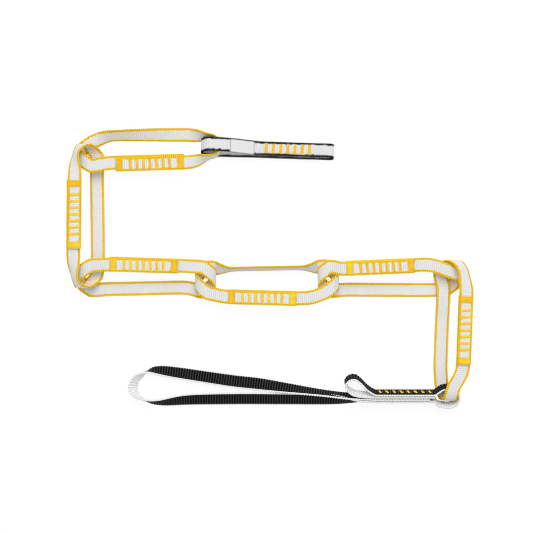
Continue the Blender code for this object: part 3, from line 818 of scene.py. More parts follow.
@dataclass(frozen=True)
class TapeFinish:
    """Woven tape: two faces and an edge, each with its own colour.

    Shades are shares of light lost, painted into the colour as shade in the
    grooves between ribs and yarns, and the relief's shares are those of the
    ribs, the yarns, the flecks and the edge's beads.
    """

    name: str
    outer: Colour
    inner: Colour
    edge: Colour
    edge_shade: Colour
    weave: Weave
    outer_rib_shade: float = 0.20
    inner_rib_shade: float = 0.27
    outer_rib_power: float = 1.0
    yarn_period: float = 0.00055
    yarn_shade: float = 0.06
    cloud_scale: float = 90.0
    cloud_range: Span = (0.97, 1.03)
    fleck_scale: float = 1400.0
    fleck_range: Span = (0.7, 1.3)
    grain_band: Span = (0.40, 0.56)
    inner_grain: float = 0.0
    turned_band: Span = (0.50, 0.90)
    bounce_lit_inner: Colour | None = None
    edge_jag: float = 0.00030
    edge_wander: float = 0.0
    wander_scale: float = 420.0
    edge_softness: float = 0.00008
    edge_power: float = 1.4
    edge_range: Span = (0.9, 1.2)
    roughness: float = 0.78
    sheen: float = 0.03
    specular: float = 0.20
    relief: float = 0.00012
    relief_shares: tuple[float, float, float, float] = (0.45, 0.35, 0.20, 0.40)

    def material(self) -> bpy.types.Material:
        """Cloth worked out from the tape's own pattern vector.

        Along each rib the cross yarn shows as |sin(pi s / rib period)|, raised to a
        power on the outer face, and the grooves between the ribs and between the long
        yarns get painted shade; where the power is high, only thin lit crest lines
        stay, a painted highlight. The long yarns are |sin| of the place across, half
        a yarn aside in every other rib. The edge starts at a line that steps in and
        out with the beads and wanders with a noise, and the dips between the beads
        get painted shade. In the depth of a turn, where the share outward falls, the
        inner face may get a painted reflection, a warmer tint as where light comes
        back from the coloured edges.

        Returns:
            The material.
        """
        made, tree = new_material(self.name)
        across, side, along = tree.parts(tree.attribute(WEAVE_ATTRIBUTE))
        on_outer = side.ramp(*SIDE_BAND)
        clouds, flecks = tree.noise(self.cloud_scale), tree.noise(self.fleck_scale)
        rows = along / self.weave.rib_period
        rib = rows.arches()
        odd_row = rows.math("FLOOR") % 2.0
        yarn = (across / self.yarn_period + odd_row * 0.5).arches()
        bead = (along / self.weave.bead_period + on_outer * 0.5).arches()

        wander = (tree.noise(self.wander_scale) - 0.5) * self.edge_wander
        line = GAUGE.width / 2.0 - self.weave.edge_width
        edge = abs(across) + (bead - 0.5) * self.edge_jag + wander
        edge = edge.ramp(line - self.edge_softness, line + self.edge_softness)

        rib_shade = on_outer.between(self.inner_rib_shade, self.outer_rib_shade)
        crest = rib ** on_outer.between(1.0, self.outer_rib_power)
        # Painted shade: light taken from the grooves between ribs and between the long yarns.
        lost = (1.0 - crest) * rib_shade + (1.0 - yarn) * self.yarn_shade
        shade = (1.0 - lost * flecks.between(*self.fleck_range)) * clouds.between(*self.cloud_range)
        shade = shade - (1.0 - on_outer) * (1.0 - flecks.ramp(*self.grain_band)) * self.inner_grain

        # Painted reflection: the inner face deep in a turn is tinted warmer, as if lit by light
        # coming back from the yellow edges.
        inner = self.inner
        if self.bounce_lit_inner:
            turned = 1.0 - abs(side).ramp(*self.turned_band)
            inner = tree.mix(turned, self.inner, self.bounce_lit_inner)
        face = tree.mix(on_outer, inner, self.outer)
        shaded_face = tree.mix(shade.clamped(), (0.0, 0.0, 0.0), face)
        # Painted shade in the dips between the edge's beads, varied by flecks.
        edge_tone = bead**self.edge_power * flecks.between(*self.edge_range)
        edge_colour = tree.mix(edge_tone.clamped(), self.edge_shade, self.edge)
        colour = tree.mix(edge, shaded_face, edge_colour)

        ribs, yarns, fuzz, beads = self.relief_shares
        height = rib * ribs + yarn * yarns + flecks * fuzz + edge * bead * beads
        tree.surface(colour, self.roughness, height, self.relief, self.sheen, self.specular)
        return made


@dataclass(frozen=True)
class ThreadFinish:
    """Twisted sewing thread; the shares weigh the painted shade along its plies, its fine and its
    coarse clouds.
    """

    name: str
    light: Colour
    dark: Colour
    ply_length: float = 0.0006
    ply_lead: float = 2.0
    ply_share: float = 0.35
    fine_scale: float = 900.0
    fine_share: float = 0.35
    coarse_scale: float = 260.0
    coarse_band: Span = (0.3, 0.7)
    coarse_share: float = 0.5
    roughness: float = 0.60
    specular: float = 0.15
    relief: float = 0.00005

    def material(self) -> bpy.types.Material:
        """Thread whose plies run round it: sin(2 pi s / ply length + lead cos(ring angle)).

        Returns:
            The material.
        """
        made, tree = new_material(self.name)
        cosine, _, along = tree.parts(tree.attribute(THREAD_ATTRIBUTE))
        turns = along * (2.0 * math.pi / self.ply_length) + cosine * self.ply_lead
        ply = turns.math("SINE") * 0.5 + 0.5
        fine = tree.noise(self.fine_scale) * self.fine_share
        coarse = tree.noise(self.coarse_scale).ramp(*self.coarse_band) * self.coarse_share
        # The plies' twist shows as painted shade along their grooves; the fine and coarse clouds
        # are the thread's own uneven tone.
        tone = (ply * self.ply_share + (fine + coarse)).clamped()
        colour = tree.mix(tone, self.dark, self.light)
        tree.surface(colour, self.roughness, ply, self.relief, 0.0, self.specular)
        return made


@dataclass(frozen=True)
class LabelFinish:
    """Bare satin label with heat-cut sides; the shares weigh what darkens it."""

    name: str
    cloth: Colour
    border: Colour
    line_period: float = 0.00032
    yarn_period: float = 0.000512
    border_band: Span = (0.00042, 0.00070)
    fold_band: Span = (0.00048, 0.00160)
    fold_shade_share: float = 0.55
    cloud_scale: float = 160.0
    cloud_range: Span = (-0.1, 0.25)
    roughness: float = 0.42
    sheen: float = 0.1
    specular: float = 0.35
    relief: float = 0.00004
    relief_shares: Span = (0.6, 0.4)

    def material(self, width: float, length: float) -> bpy.types.Material:
        """Satin with fine lines across it, a slightly darker sealed border and painted shade at its
        folded ends.

        Args:
            width: Width of the label.
            length: Length of the label.

        Returns:
            The material.
        """
        made, tree = new_material(self.name)
        across, _, along = tree.parts(tree.attribute(WEAVE_ATTRIBUTE))
        line = (along / self.line_period).arches()
        yarn = (across / self.yarn_period).arches()
        from_side = width / 2.0 - abs(across)
        from_end = length / 2.0 - abs(along - length / 2.0)
        rim = 1.0 - from_side.math("MINIMUM", from_end).ramp(*self.border_band)
        # Painted shade where the label's ends fold over.
        fold = 1.0 - from_end.ramp(*self.fold_band)
        clouds = tree.noise(self.cloud_scale).between(*self.cloud_range)
        tone = (rim + fold * self.fold_shade_share + clouds).clamped()
        colour = tree.mix(tone, self.cloth, self.border)
        lines, yarns = self.relief_shares
        height = line * lines + yarn * yarns
        tree.surface(colour, self.roughness, height, self.relief, self.sheen, self.specular)
        return made


YELLOW = (1.000, 0.705, 0.004)
# Painted shade colour for the dips between the yellow edge's beads.
YELLOW_SHADE = (0.380, 0.135, 0.001)
WHITE = (0.755, 0.755, 0.750)
INNER_WHITE = (0.800, 0.800, 0.795)
SLING_WHITE = (0.915, 0.915, 0.910)
# Painted shade colour for the dips between the sling's white edge beads.
SLING_WHITE_SHADE = (0.600, 0.600, 0.600)
# Painted reflection of the yellow edges' light on inner faces deep in a turn.
BOUNCE_LIT_WHITE = (0.900, 0.770, 0.620)
# Lit colour on the crests of the sling's black ribs; painted shade takes the grooves down to near
# black.
BLACK = (0.046, 0.046, 0.048)
EDGE_BLACK = (0.005, 0.005, 0.006)
# Painted shade colour for the dips between the black edge's beads.
EDGE_BLACK_SHADE = (0.030, 0.030, 0.032)

LINK_WEAVE = Weave(held_calm=0.75)
END_WEAVE = Weave(edge_width=0.0017)
SLING_WEAVE = Weave(
    rib_period=0.0022, rib_height=0.00025, bead_period=0.0022, bead_height=0.00016,
    scallop=0.00045, edge_width=0.0010, stations_per_rib=7, softness=0.0006,
)

LINK_TAPE = TapeFinish(
    "link_tape_cloth", WHITE, INNER_WHITE, YELLOW, YELLOW_SHADE, LINK_WEAVE,
    inner_rib_shade=0.13, inner_grain=0.09, bounce_lit_inner=BOUNCE_LIT_WHITE, edge_wander=0.0018,
)
END_TAPE = TapeFinish(
    "end_tape_cloth", WHITE, WHITE, EDGE_BLACK, EDGE_BLACK_SHADE, END_WEAVE,
    edge_jag=0.0008, edge_wander=0.0032, sheen=0.0, specular=0.08,
)
# Strong painted shade in the black face's grooves leaves thin lit crest lines, a painted highlight.
SLING_TAPE = TapeFinish(
    "sling_tape_cloth", BLACK, SLING_WHITE, SLING_WHITE, SLING_WHITE_SHADE, SLING_WEAVE,
    outer_rib_shade=0.95, inner_rib_shade=0.18, outer_rib_power=7.0, roughness=0.70,
    edge_jag=-0.0006, sheen=0.0, specular=0.08,
)
YELLOW_THREAD = ThreadFinish("yellow_sewing_thread", (1.00, 0.76, 0.020), (0.84, 0.40, 0.002))
AMBER_THREAD = ThreadFinish("amber_sewing_thread", (0.96, 0.63, 0.004), (0.78, 0.38, 0.001))
SATIN = LabelFinish("satin_label", (0.70, 0.70, 0.705), (0.50, 0.50, 0.51))


@dataclass(frozen=True)
class Finishes:
    """Every shared material of the chain, made once."""

    link_tape: bpy.types.Material = field(default_factory=LINK_TAPE.material)
    end_tape: bpy.types.Material = field(default_factory=END_TAPE.material)
    sling_tape: bpy.types.Material = field(default_factory=SLING_TAPE.material)
    thread: bpy.types.Material = field(default_factory=YELLOW_THREAD.material)
    amber_thread: bpy.types.Material = field(default_factory=AMBER_THREAD.material)


def add_piece(
    name: str,
    shell: Shell,
    attribute: str,
    material: bpy.types.Material,
    body: str,
    node: str,
    slot: Slot,
) -> None:
    """Put a shell in the scene in place of its solid.

    Args:
        name: Name of the piece.
        shell: Its surface.
        attribute: Name that its material reads the pattern vector by.
        material: Its material.
        body: Body that it rides on.
        node: Solid that it stands for.
        slot: Slot of the record for the piece; not used.
    """
    mesh = bpy.data.meshes.new(name)
    faces = shell.quads.tolist() + [list(cap) for cap in shell.caps]
    mesh.from_pydata(shell.points.tolist(), [], faces)
    pattern = mesh.attributes.new(attribute, "FLOAT_VECTOR", "POINT")
    pattern.data.foreach_set("vector", shell.pattern.astype(np.float32).ravel())
    mesh.polygons.foreach_set("use_smooth", np.ones(len(mesh.polygons), bool))
    mesh.materials.append(material)
    mesh.update()
    piece = bpy.data.objects.new(name, mesh)
    bpy.context.scene.collection.objects.link(piece)
    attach(piece, body)
    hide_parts(node)
    LOG.info("%s stands for %s on %s, %d points", name, node, body, len(shell.points))


def add_sewing(body: str, sewn: dict[str, Shell], amber: Sequence[str], finishes: Finishes) -> None:
    """Put the sewing of a body in the scene.

    Args:
        body: Body that is sewn.
        sewn: Thread of each sewn part by the part's name.
        amber: Parts whose thread is of the deeper tone.
        finishes: Shared finishes.
    """
    for part, shell in sewn.items():
        add_piece(
            f"{body}_{part}_stitches", shell, THREAD_ATTRIBUTE,
            finishes.amber_thread if part in amber else finishes.thread,
            body, f"{body}_{part}", Slot.THREAD,
        )


@dataclass(frozen=True)
class TurnedEnd:
    """Shape of one end of a link, where it turns round its neighbour.

    Heights and shifts are shares of the tape's width, apart from the free strand's
    height, which counts crossed tapes below it. Rolls are in degrees.
    """

    top_share: float = 1.0
    tip_share: float | None = None
    crossed_share: float = 0.0
    sewn_shift_share: float = 0.755
    free_shift_share: float = 0.755
    sewn_roll: float = 0.0
    free_roll: float = 0.0
    hold_share: float = 0.0
    reach_share: float = 1.05
    tip_reach_share: float = 0.655

    @property
    def top(self) -> float:
        """Height of the sewn strand."""
        return GAUGE.width * self.top_share

    @property
    def bottom(self) -> float:
        """Height of the free strand."""
        return GAUGE.low_level + GAUGE.crossing_step * self.crossed_share

    @property
    def tip(self) -> float:
        """Height of the tip."""
        middle = (self.top + self.bottom) / 2.0
        return middle if self.tip_share is None else GAUGE.width * self.tip_share

    @property
    def hold(self) -> float:
        """Length over which the free strand stays up."""
        return GAUGE.width * self.hold_share

    @property
    def reach(self) -> float:
        """From the joint to the tip."""
        return GAUGE.width * self.tip_reach_share * self.reach_share


LOW_END = TurnedEnd(sewn_shift_share=0.78)
SHORT_END = TurnedEnd(reach_share=0.66)
TUCKED_END = TurnedEnd(sewn_shift_share=0.41, reach_share=0.72)
RAISED_END = TurnedEnd(
    top_share=1.164, tip_share=0.60, crossed_share=1.0, sewn_shift_share=0.80, free_shift_share=0.78
)
CURLED_END = TurnedEnd(
    top_share=1.073, tip_share=1.073, crossed_share=1.82, sewn_shift_share=0.63,
    sewn_roll=58.0, free_roll=10.0, reach_share=1.0,
)
STANDING_END = TurnedEnd(
    top_share=0.673, tip_share=0.673, crossed_share=3.1, sewn_shift_share=0.655,
    free_shift_share=0.79, sewn_roll=78.0, free_roll=70.0, reach_share=1.0,
)
WRAPPED_END = TurnedEnd(
    top_share=1.300, crossed_share=1.27, sewn_shift_share=0.655, sewn_roll=34.0,
    hold_share=2.136, reach_share=1.74,
)
EYE_END = TurnedEnd(
    top_share=1.382, sewn_shift_share=0.227, free_shift_share=0.35, reach_share=0.55
)


@dataclass(frozen=True)
class Turn:
    """Turned end of a link, worked out.

    Its slopes and rolls are those that the sewn strand, which comes first, and the
    free one, which comes last, meet it with. Forward is +1 at the far joint and -1
    at the near one.
    """

    path: Stretch
    slopes: tuple[float, float]
    rolls: tuple[float, float]
    forward: int


@dataclass(frozen=True)
class Lay:
    """How a strand lies: its place across, its height and its roll along the link.

    The side is +1 where the sewn strand is on the left and -1 on the right. The
    facing is +1 where the outer face looks up and -1 where it looks down.
    """

    across: Level
    height: Level
    roll: Level
    side: int
    facing: int

    def rolled(self, points: Array, roll: Array) -> Stretch:
        """Stretch rolled about its run, its lower edge on or above the floor.

        At a roll r the ruling is (0, side cos r, -sin r), the face looks along
        (0, side sin r, cos r), and the middle is at least W/2 sin r + T/2 cos r high.

        Args:
            points: Centre line, raised where its edge would sink.
            roll: Roll at each station, in degrees.

        Returns:
            The stretch.
        """
        angle = np.radians(roll)
        sine, cosine = np.sin(angle), np.cos(angle)
        lowest = GAUGE.width / 2.0 * sine + GAUGE.thickness / 2.0 * cosine
        held = np.column_stack([points[:, :2], np.maximum(points[:, 2], lowest)])
        zero = np.zeros(len(points))
        outward = self.facing * np.stack([zero, self.side * sine, cosine], axis=1)
        return Stretch(held, outward, np.stack([zero, self.side * cosine, -sine], axis=1))

    def straight(self, ahead: Array) -> Stretch:
        """The strand at places along the link."""
        points = np.stack([ahead, self.across(ahead), self.height(ahead)], axis=1)
        return self.rolled(points, self.roll(ahead))

    def approach(self, turn: Turn, strand: int, run: float, steps: int) -> Stretch:
        """The strand from where it runs straight to where its turn begins.

        Sideways it eases with a smoothstep plus slope times run times (t^4 - t^3),
        which ends at the turn's slope. Height and roll ease with a smoothstep.

        Args:
            turn: The turn.
            strand: 0 for the turn's sewn strand, -1 for its free one.
            run: Length of the stretch.
            steps: Number of stations.

        Returns:
            The stretch, towards the turn.
        """
        end = turn.path.points[strand]
        share = np.linspace(0.0, 1.0, steps + 2)[1:-1]
        ease = smoothstep(share)
        ahead = end[0] - turn.forward * run * (1.0 - share)
        across, height, roll = self.across(ahead), self.height(ahead), self.roll(ahead)
        across = across + (end[1] - across) * ease
        across += turn.slopes[strand] * run * (share**4 - share**3)
        height = height + (end[2] - height) * ease
        roll = roll + (turn.rolls[strand] - roll) * ease
        return self.rolled(np.stack([ahead, across, height], axis=1), roll)


def no_roll(ahead: Array) -> Array:
    """Roll of a strand that lies flat."""
    return np.zeros(len(ahead))


@dataclass(frozen=True)
class Strand:
    """Line of a strand beside the link's axis; slant and rolls are in degrees."""

    share: float
    slant: float = 0.0
    bow_share: float = 0.0
    roll_near: float = 0.0
    roll_far: float = 0.0

    def roll(self, share: Array) -> Array:
        """Roll at shares of the link's pitch, before it is eased at its ends."""
        return self.roll_near + (self.roll_far - self.roll_near) * share


@dataclass(frozen=True)
class Link:
    """One sewn link: its tape, two wide tacks, a ladder of bars and the bobbin thread.

    Amber names the sewn parts whose thread is of the deeper tone.
    """

    number: int
    heading: float
    side: int
    pitch_share: float
    sewn: Strand
    free: Strand
    seam_shift_share: float
    inner_layer_share: float
    near: TurnedEnd
    far: TurnedEnd
    amber: tuple[str, ...] = ()
    link_pitch: float = 0.1040
    turn_radius_share: float = 0.691
    strand_offset_share: float = 0.955
    approach_share: float = 1.60
    twist_share: float = 1.7
    held_length: float = 0.0085
    freed_length: float = 0.0060
    seam_length: float = 0.0575
    seam_margin: float = 0.0003
    wide_tack: Tack = Tack(length=0.0061, span=0.0096, unevenness=0.00022)
    bars: Ladder = Ladder(
        7, 0.0055,
        Tack(length=0.0023, span=0.0094, slant=0.0006, unevenness=0.00020, ripple=0.00024),
    )
    bobbin: Ladder = Ladder(7, 0.0055, Tack(length=0.0014, span=0.0080, pitch=0.00050))
    turn_steps: int = 48
    curve_steps: int = 24
    free_steps: int = 28

    @property
    def name(self) -> str:
        """Body that the link is."""
        return f"link_{self.number}"

    @property
    def joint(self) -> str:
        """Joint that the link's frame starts at."""
        return f"joint_{self.number}"

    @property
    def pitch(self) -> float:
        """From the link's first joint to its second."""
        return self.link_pitch * self.pitch_share

    @property
    def run(self) -> float:
        """Length over which a strand eases into its turn."""
        return GAUGE.width * self.approach_share

    def line(self, strand: Strand, sign: int, aside: float = 0.0) -> Level:
        """Sideways place of a strand along the link.

        It is the offset times 1 + bow (1 - (2 u / pitch - 1)^2), plus the slant's
        slope times the distance from the middle, plus a fixed step aside.

        Args:
            strand: The strand.
            sign: +1 on the link's left, -1 on its right.
            aside: Extra step to the left.

        Returns:
            The place across as a function of the place along.
        """
        offset = sign * GAUGE.width * self.strand_offset_share * strand.share
        slope = math.tan(math.radians(strand.slant))

        def place(ahead: Array) -> Array:
            """Place across the link."""
            bowed = 1.0 + strand.bow_share * (1.0 - (2.0 * ahead / self.pitch - 1.0) ** 2)
            return offset * bowed + slope * (ahead - self.pitch / 2.0) + aside

        return place

    def turn(self, joint_u: float, end: TurnedEnd, forward: int) -> Turn:
        """Turned end, from the sewn strand round the tip to the free one.

        At an angle a from 90 to -90 degrees the centre is at radius cos a ahead. An
        unrolled half winds on a flat cylinder that lies across the link and shifts
        along it; a fully rolled half bends round an upright one. The roll blends
        them, sine for height in one and for the sideways swing in the other.

        Args:
            joint_u: Place of the joint along the link.
            end: Shape of the end.
            forward: +1 at the far joint, -1 at the near one.

        Returns:
            The turn.
        """
        angle = np.radians(np.linspace(90.0, -90.0, self.turn_steps + 1))
        from_tip = np.abs(angle)
        share = from_tip / (math.pi / 2.0)
        sewn = angle > 0.0
        blend = smoothstep(0.5 + angle / math.pi)
        roll = np.radians(end.free_roll + (end.sewn_roll - end.free_roll) * blend)
        upright = roll / (math.pi / 2.0)
        shift = GAUGE.width * np.where(sewn, end.sewn_shift_share, end.free_shift_share)
        swing = (1.0 - upright) * share + upright * np.sin(from_tip)
        climb = (1.0 - upright) * np.sin(from_tip) + upright * smoothstep(share)
        height = end.tip + (np.where(sewn, end.top, end.bottom) - end.tip) * climb
        radius = GAUGE.width * self.turn_radius_share
        ahead = joint_u + forward * (end.reach - radius + radius * np.cos(angle))
        points = np.stack([ahead, self.side * shift * np.sign(angle) * swing, height], axis=1)
        half_height = max((end.top - end.bottom) / 2.0, GAUGE.thickness)
        tilt = np.sin(angle) / ((1.0 - upright) * half_height + upright * shift)
        front = forward * np.cos(angle) / radius
        outward = np.stack([front, self.side * tilt * np.sin(roll), tilt * np.cos(roll)], axis=1)
        rulings = np.stack([np.zeros(len(roll)), self.side * np.cos(roll), -np.sin(roll)], axis=1)
        slopes = self.side * (1.0 - upright) * shift / (math.pi / 2.0) / radius
        path = Stretch(points, outward, rulings)
        return Turn(path, (-slopes[0], slopes[-1]), (end.sewn_roll, end.free_roll), forward)

    def seam(self) -> Array:
        """Places of the seam's start, middle and end along the link."""
        half = self.seam_length / 2.0 + self.seam_margin
        return self.pitch * (0.5 + self.seam_shift_share) + half * np.array([-1.0, 0.0, 1.0])

    def seam_lines(self) -> tuple[Level, Level]:
        """Sideways places of the seam's outer layer and of its inner one."""
        aside = self.side * GAUGE.width * self.inner_layer_share
        return self.line(self.sewn, self.side), self.line(self.sewn, self.side, aside)

    def stretch(self) -> tuple[Stretch, Level]:
        """Centre line in the link's own frame, and the height of its inner layer.

        It starts in the seam as the inner layer, goes round the far turn, back along
        the free strand, round the near turn, and ends as the outer layer.

        Returns:
            The stretch and the level.
        """
        far_turn, near_turn = self.turn(self.pitch, self.far, 1), self.turn(0.0, self.near, -1)
        far, near = far_turn.path.points, near_turn.path.points
        hold_end = near[-1, 0] + self.near.hold + self.run
        twist_length = GAUGE.width * self.twist_share

        def inner_level(ahead: Array) -> Array:
            """Height of the inner layer, straight from end to end."""
            share = (ahead - near[0, 0]) / (far[0, 0] - near[0, 0])
            return self.near.top + (self.far.top - self.near.top) * share

        def outer_level(ahead: Array) -> Array:
            """Height of the outer layer."""
            return inner_level(ahead) + GAUGE.layer_step

        def free_level(ahead: Array) -> Array:
            """Height of the free strand, which stays up over its hold."""
            raised = self.near.bottom - GAUGE.low_level if self.near.hold else 0.0
            return GAUGE.low_level + raised * smoothstep((hold_end - ahead) / self.run)

        def free_roll(ahead: Array) -> Array:
            """Roll of the free strand, eased in from both ends."""
            inside = np.minimum(ahead - near[-1, 0], far[-1, 0] - ahead)
            return self.free.roll(ahead / self.pitch) * smoothstep(inside / twist_length)

        outer_line, inner_line = self.seam_lines()
        outer = Lay(outer_line, outer_level, no_roll, self.side, 1)
        inner = Lay(inner_line, inner_level, no_roll, self.side, 1)
        free = Lay(self.line(self.free, -self.side), free_level, free_roll, self.side, -1)

        seam_start, _, seam_end = self.seam()
        seam_u = np.linspace(seam_start, seam_end, self.free_steps)
        run_far = min(self.run, far[0, 0] - seam_end)
        run_near = min(self.run, seam_start - near[0, 0])
        free_start = far[-1, 0] - self.run
        free_end = near[-1, 0] + max(self.near.hold, self.run)
        free_u = np.linspace(free_start, free_end, self.free_steps + 2)[1:-1]
        if self.near.hold:
            lowered = free_end + self.run
            free_u = np.linspace(free_start, lowered, self.free_steps + 1)[1:-1]
            free_u = np.concatenate([free_u, np.linspace(lowered, free_end, self.curve_steps)])
        pieces = [
            inner.straight(seam_u),
            inner.approach(far_turn, 0, run_far, self.curve_steps),
            far_turn.path,
            free.approach(far_turn, -1, self.run, self.curve_steps).reversed(),
            free.straight(free_u),
            free.approach(near_turn, -1, self.run, self.curve_steps),
            near_turn.path.reversed(),
            outer.approach(near_turn, 0, run_near, self.curve_steps).reversed(),
            outer.straight(seam_u),
        ]
        return Stretch.joined(pieces), inner_level

    def patches(self, inner_level: Level) -> tuple[Patch, Patch]:
        """Upper and lower faces of the seam, in the link's own frame.

        Args:
            inner_level: Height of the inner layer along the link.

        Returns:
            The upper patch and the lower one.
        """
        seam_u = self.seam()
        heights = inner_level(seam_u)
        outer, inner = (
            np.stack([seam_u, line(seam_u), heights], axis=1) for line in self.seam_lines()
        )
        above = outer[1] + UP * (GAUGE.layer_step + GAUGE.thickness / 2.0)
        below = inner[1] - UP * GAUGE.thickness / 2.0
        upper = Patch.facing(above, outer[2] - outer[0], UP)
        return upper, Patch.facing(below, inner[2] - inner[0], -UP)

    def dress(self, origin: Array, finishes: Finishes) -> None:
        """Build and place every piece of the link.

        Args:
            origin: World place of the link's first joint.
            finishes: Shared finishes.
        """
        matrix = heading_matrix(self.heading)
        stretch, inner_level = self.stretch()
        ahead = stretch.points[:, 0]
        slack = (np.minimum(ahead, self.pitch - ahead) - self.held_length) / self.freed_length
        route = Route.along(stretch.points, stretch.outward, stretch.rulings, slack)
        tape = LINK_WEAVE.woven(route.turned(matrix, origin))
        add_piece(
            f"{self.name}_woven_tape", tape, WEAVE_ATTRIBUTE, finishes.link_tape,
            self.name, f"{self.name}_tape", Slot.LINK_TAPE,
        )
        upper, lower = (patch.turned(matrix, origin) for patch in self.patches(inner_level))
        rng = np.random.default_rng(self.number)
        reach = (self.seam_length - self.wide_tack.length) / 2.0
        thread = self.bars.thread
        sewn = {
            "tack_start": thread.tube(upper, self.wide_tack.path(-reach, rng)),
            "tack_end": thread.tube(upper, self.wide_tack.path(reach, rng)),
            "bar_tacks": self.bars.sewn(upper, rng),
            "bobbin_thread": self.bobbin.sewn(lower, rng),
        }
        add_sewing(self.name, sewn, self.amber, finishes)


@dataclass(frozen=True)
class EndLoop:
    """End loop with its carabiner eye, bar tacks, bobbin thread and bare label."""

    heading: float = -2.0
    reach: float = 0.1030
    seam_start: float = 0.0450
    seam_length: float = 0.0395
    layer_shift: float = 0.0019
    turn_shift: float = 0.0026
    layer_spread: float = 0.0014
    eye_height: float = 0.0064
    tip_share: float = 0.655
    top_share: float = 1.309
    label_start: float = 0.0160
    label_length: float = 0.0200
    label_width: float = 0.0108
    label_aside: float = -0.0004
    label_thickness: float = 0.0003
    label_lift: float = 0.00022
    label_power: int = 8
    fold_height: float = 0.00040
    fold_inset: float = 0.0008
    fold_width: float = 0.0009
    amber: tuple[str, ...] = ("bar_tacks", "bobbin_thread")
    seed: int = 11
    bars: Ladder = Ladder(7, 0.0061, Tack(length=0.0023, span=0.0082, unevenness=0.00018))
    bobbin: Ladder = Ladder(7, 0.0061, Tack(length=0.0014, span=0.0070, pitch=0.00050))
    steps: int = 48
    label_steps: int = 80
    label_face_points: int = 21

    def rows(self) -> Array:
        """Rows of place along, across and up, and of the outward direction along and up.

        The tape starts between the two outer layers of the seam, runs round the
        carabiner eye, forms the upper layer, turns round the first link on an ellipse
        and ends as the lowest layer. Heights ease with a smoothstep in between.

        Returns:
            The rows, in the loop's own frame.
        """
        low, step = GAUGE.sewn_low_level, GAUGE.layer_step
        front, turn_front = self.layer_shift / 2.0, self.turn_shift / 2.0
        upper = low + 2.0 * step
        seam_end = self.seam_start + self.seam_length
        seam = np.linspace(self.seam_start, seam_end, self.steps)
        angle = np.radians(np.linspace(-90.0, 90.0, self.steps + 1))
        sine, cosine = np.sin(angle), np.cos(angle)
        eye_radius = self.eye_height / 2.0
        eye_centre = self.reach - eye_radius
        eye_run = np.linspace(0.0, 1.0, self.steps)[1:-1]
        eye_u = seam_end + (eye_centre - seam_end) * eye_run
        eye_lift = smoothstep(eye_run)
        top = GAUGE.width * self.top_share
        half_height = (top - GAUGE.low_level) / 2.0
        turn_u = half_height - GAUGE.width * self.tip_share
        rise_u = np.linspace(self.seam_start, turn_u, self.steps)[1:-1]
        rise = smoothstep((self.seam_start - rise_u) / (self.seam_start - turn_u - GAUGE.width))
        fall = smoothstep((self.seam_start - rise_u[::-1]) / (self.seam_start - turn_u))
        aside = smoothstep((self.seam_start - rise_u) / (self.seam_start - turn_u))
        aside = front + (turn_front - front + self.layer_spread) * aside

        def level_rows(u: Array, across: Numbers, height: Numbers, facing: float) -> Array:
            """Rows of a strand whose outer face looks up or down."""
            return np.stack(np.broadcast_arrays(u, across, height, 0.0, facing), axis=1)

        eye_across = front * sine
        eye_up = low + eye_radius * (1.0 + sine)
        turn_across = turn_front * sine + self.layer_spread * (1.0 + sine) / 2.0
        turn_up = GAUGE.low_level + half_height * (1.0 + sine)
        eye = [eye_centre + eye_radius * cosine, eye_across, eye_up, cosine, sine]
        turned = [turn_u - half_height * cosine, turn_across, turn_up, -cosine, sine]
        eye_fall = upper + (low + self.eye_height - upper) * eye_lift[::-1]
        low_aside = -front - (turn_front - front) * fall
        pieces = [
            level_rows(seam, -front, low + step, -1.0),
            level_rows(eye_u, -front, low + step * (1.0 - eye_lift), -1.0),
            np.stack(eye, axis=1),
            level_rows(eye_u[::-1], front, eye_fall, 1.0),
            level_rows(seam[::-1], front, upper, 1.0),
            level_rows(rise_u, aside, upper + (top - upper) * rise, 1.0),
            np.stack(turned, axis=1)[::-1],
            level_rows(rise_u[::-1], low_aside, low + (GAUGE.low_level - low) * fall, -1.0),
            level_rows(seam, -front, low, -1.0),
        ]
        return np.vstack(pieces)

    def label(self, rows: Array) -> tuple[Route, Array]:
        """Line of the bare label on the upper layer, in the loop's own frame.

        It follows the tape's face, and its two ends are lifted into a low rounded
        fold, by the fold's height times a bell exp(-(d / fold width)^2).

        Args:
            rows: Rows of the loop's centre line.

        Returns:
            The route, and the distance of each station from the label's start.
        """
        faces_up = rows[:, 4] > 0.5
        face = rows[faces_up][np.argsort(rows[faces_up, 0])]
        along = self.label_length * np.linspace(0.0, 1.0, self.label_steps + 1)
        ahead = self.label_start + along
        aside = np.interp(ahead, face[:, 0], face[:, 1]) + self.label_aside
        level = np.interp(ahead, face[:, 0], face[:, 2])
        zero = np.zeros(len(ahead))
        outward = unit(np.stack([-np.gradient(level, ahead), zero, zero + 1.0], axis=1))
        lift = GAUGE.thickness / 2.0 + self.label_lift
        for place in (self.fold_inset, self.label_length - self.fold_inset):
            lift = lift + self.fold_height * np.exp(-(((along - place) / self.fold_width) ** 2))
        points = np.stack([ahead, aside, level], axis=1) + outward * lift[:, None]
        return Route(points, np.stack([zero, zero + 1.0, zero], axis=1), outward), along[:, None]

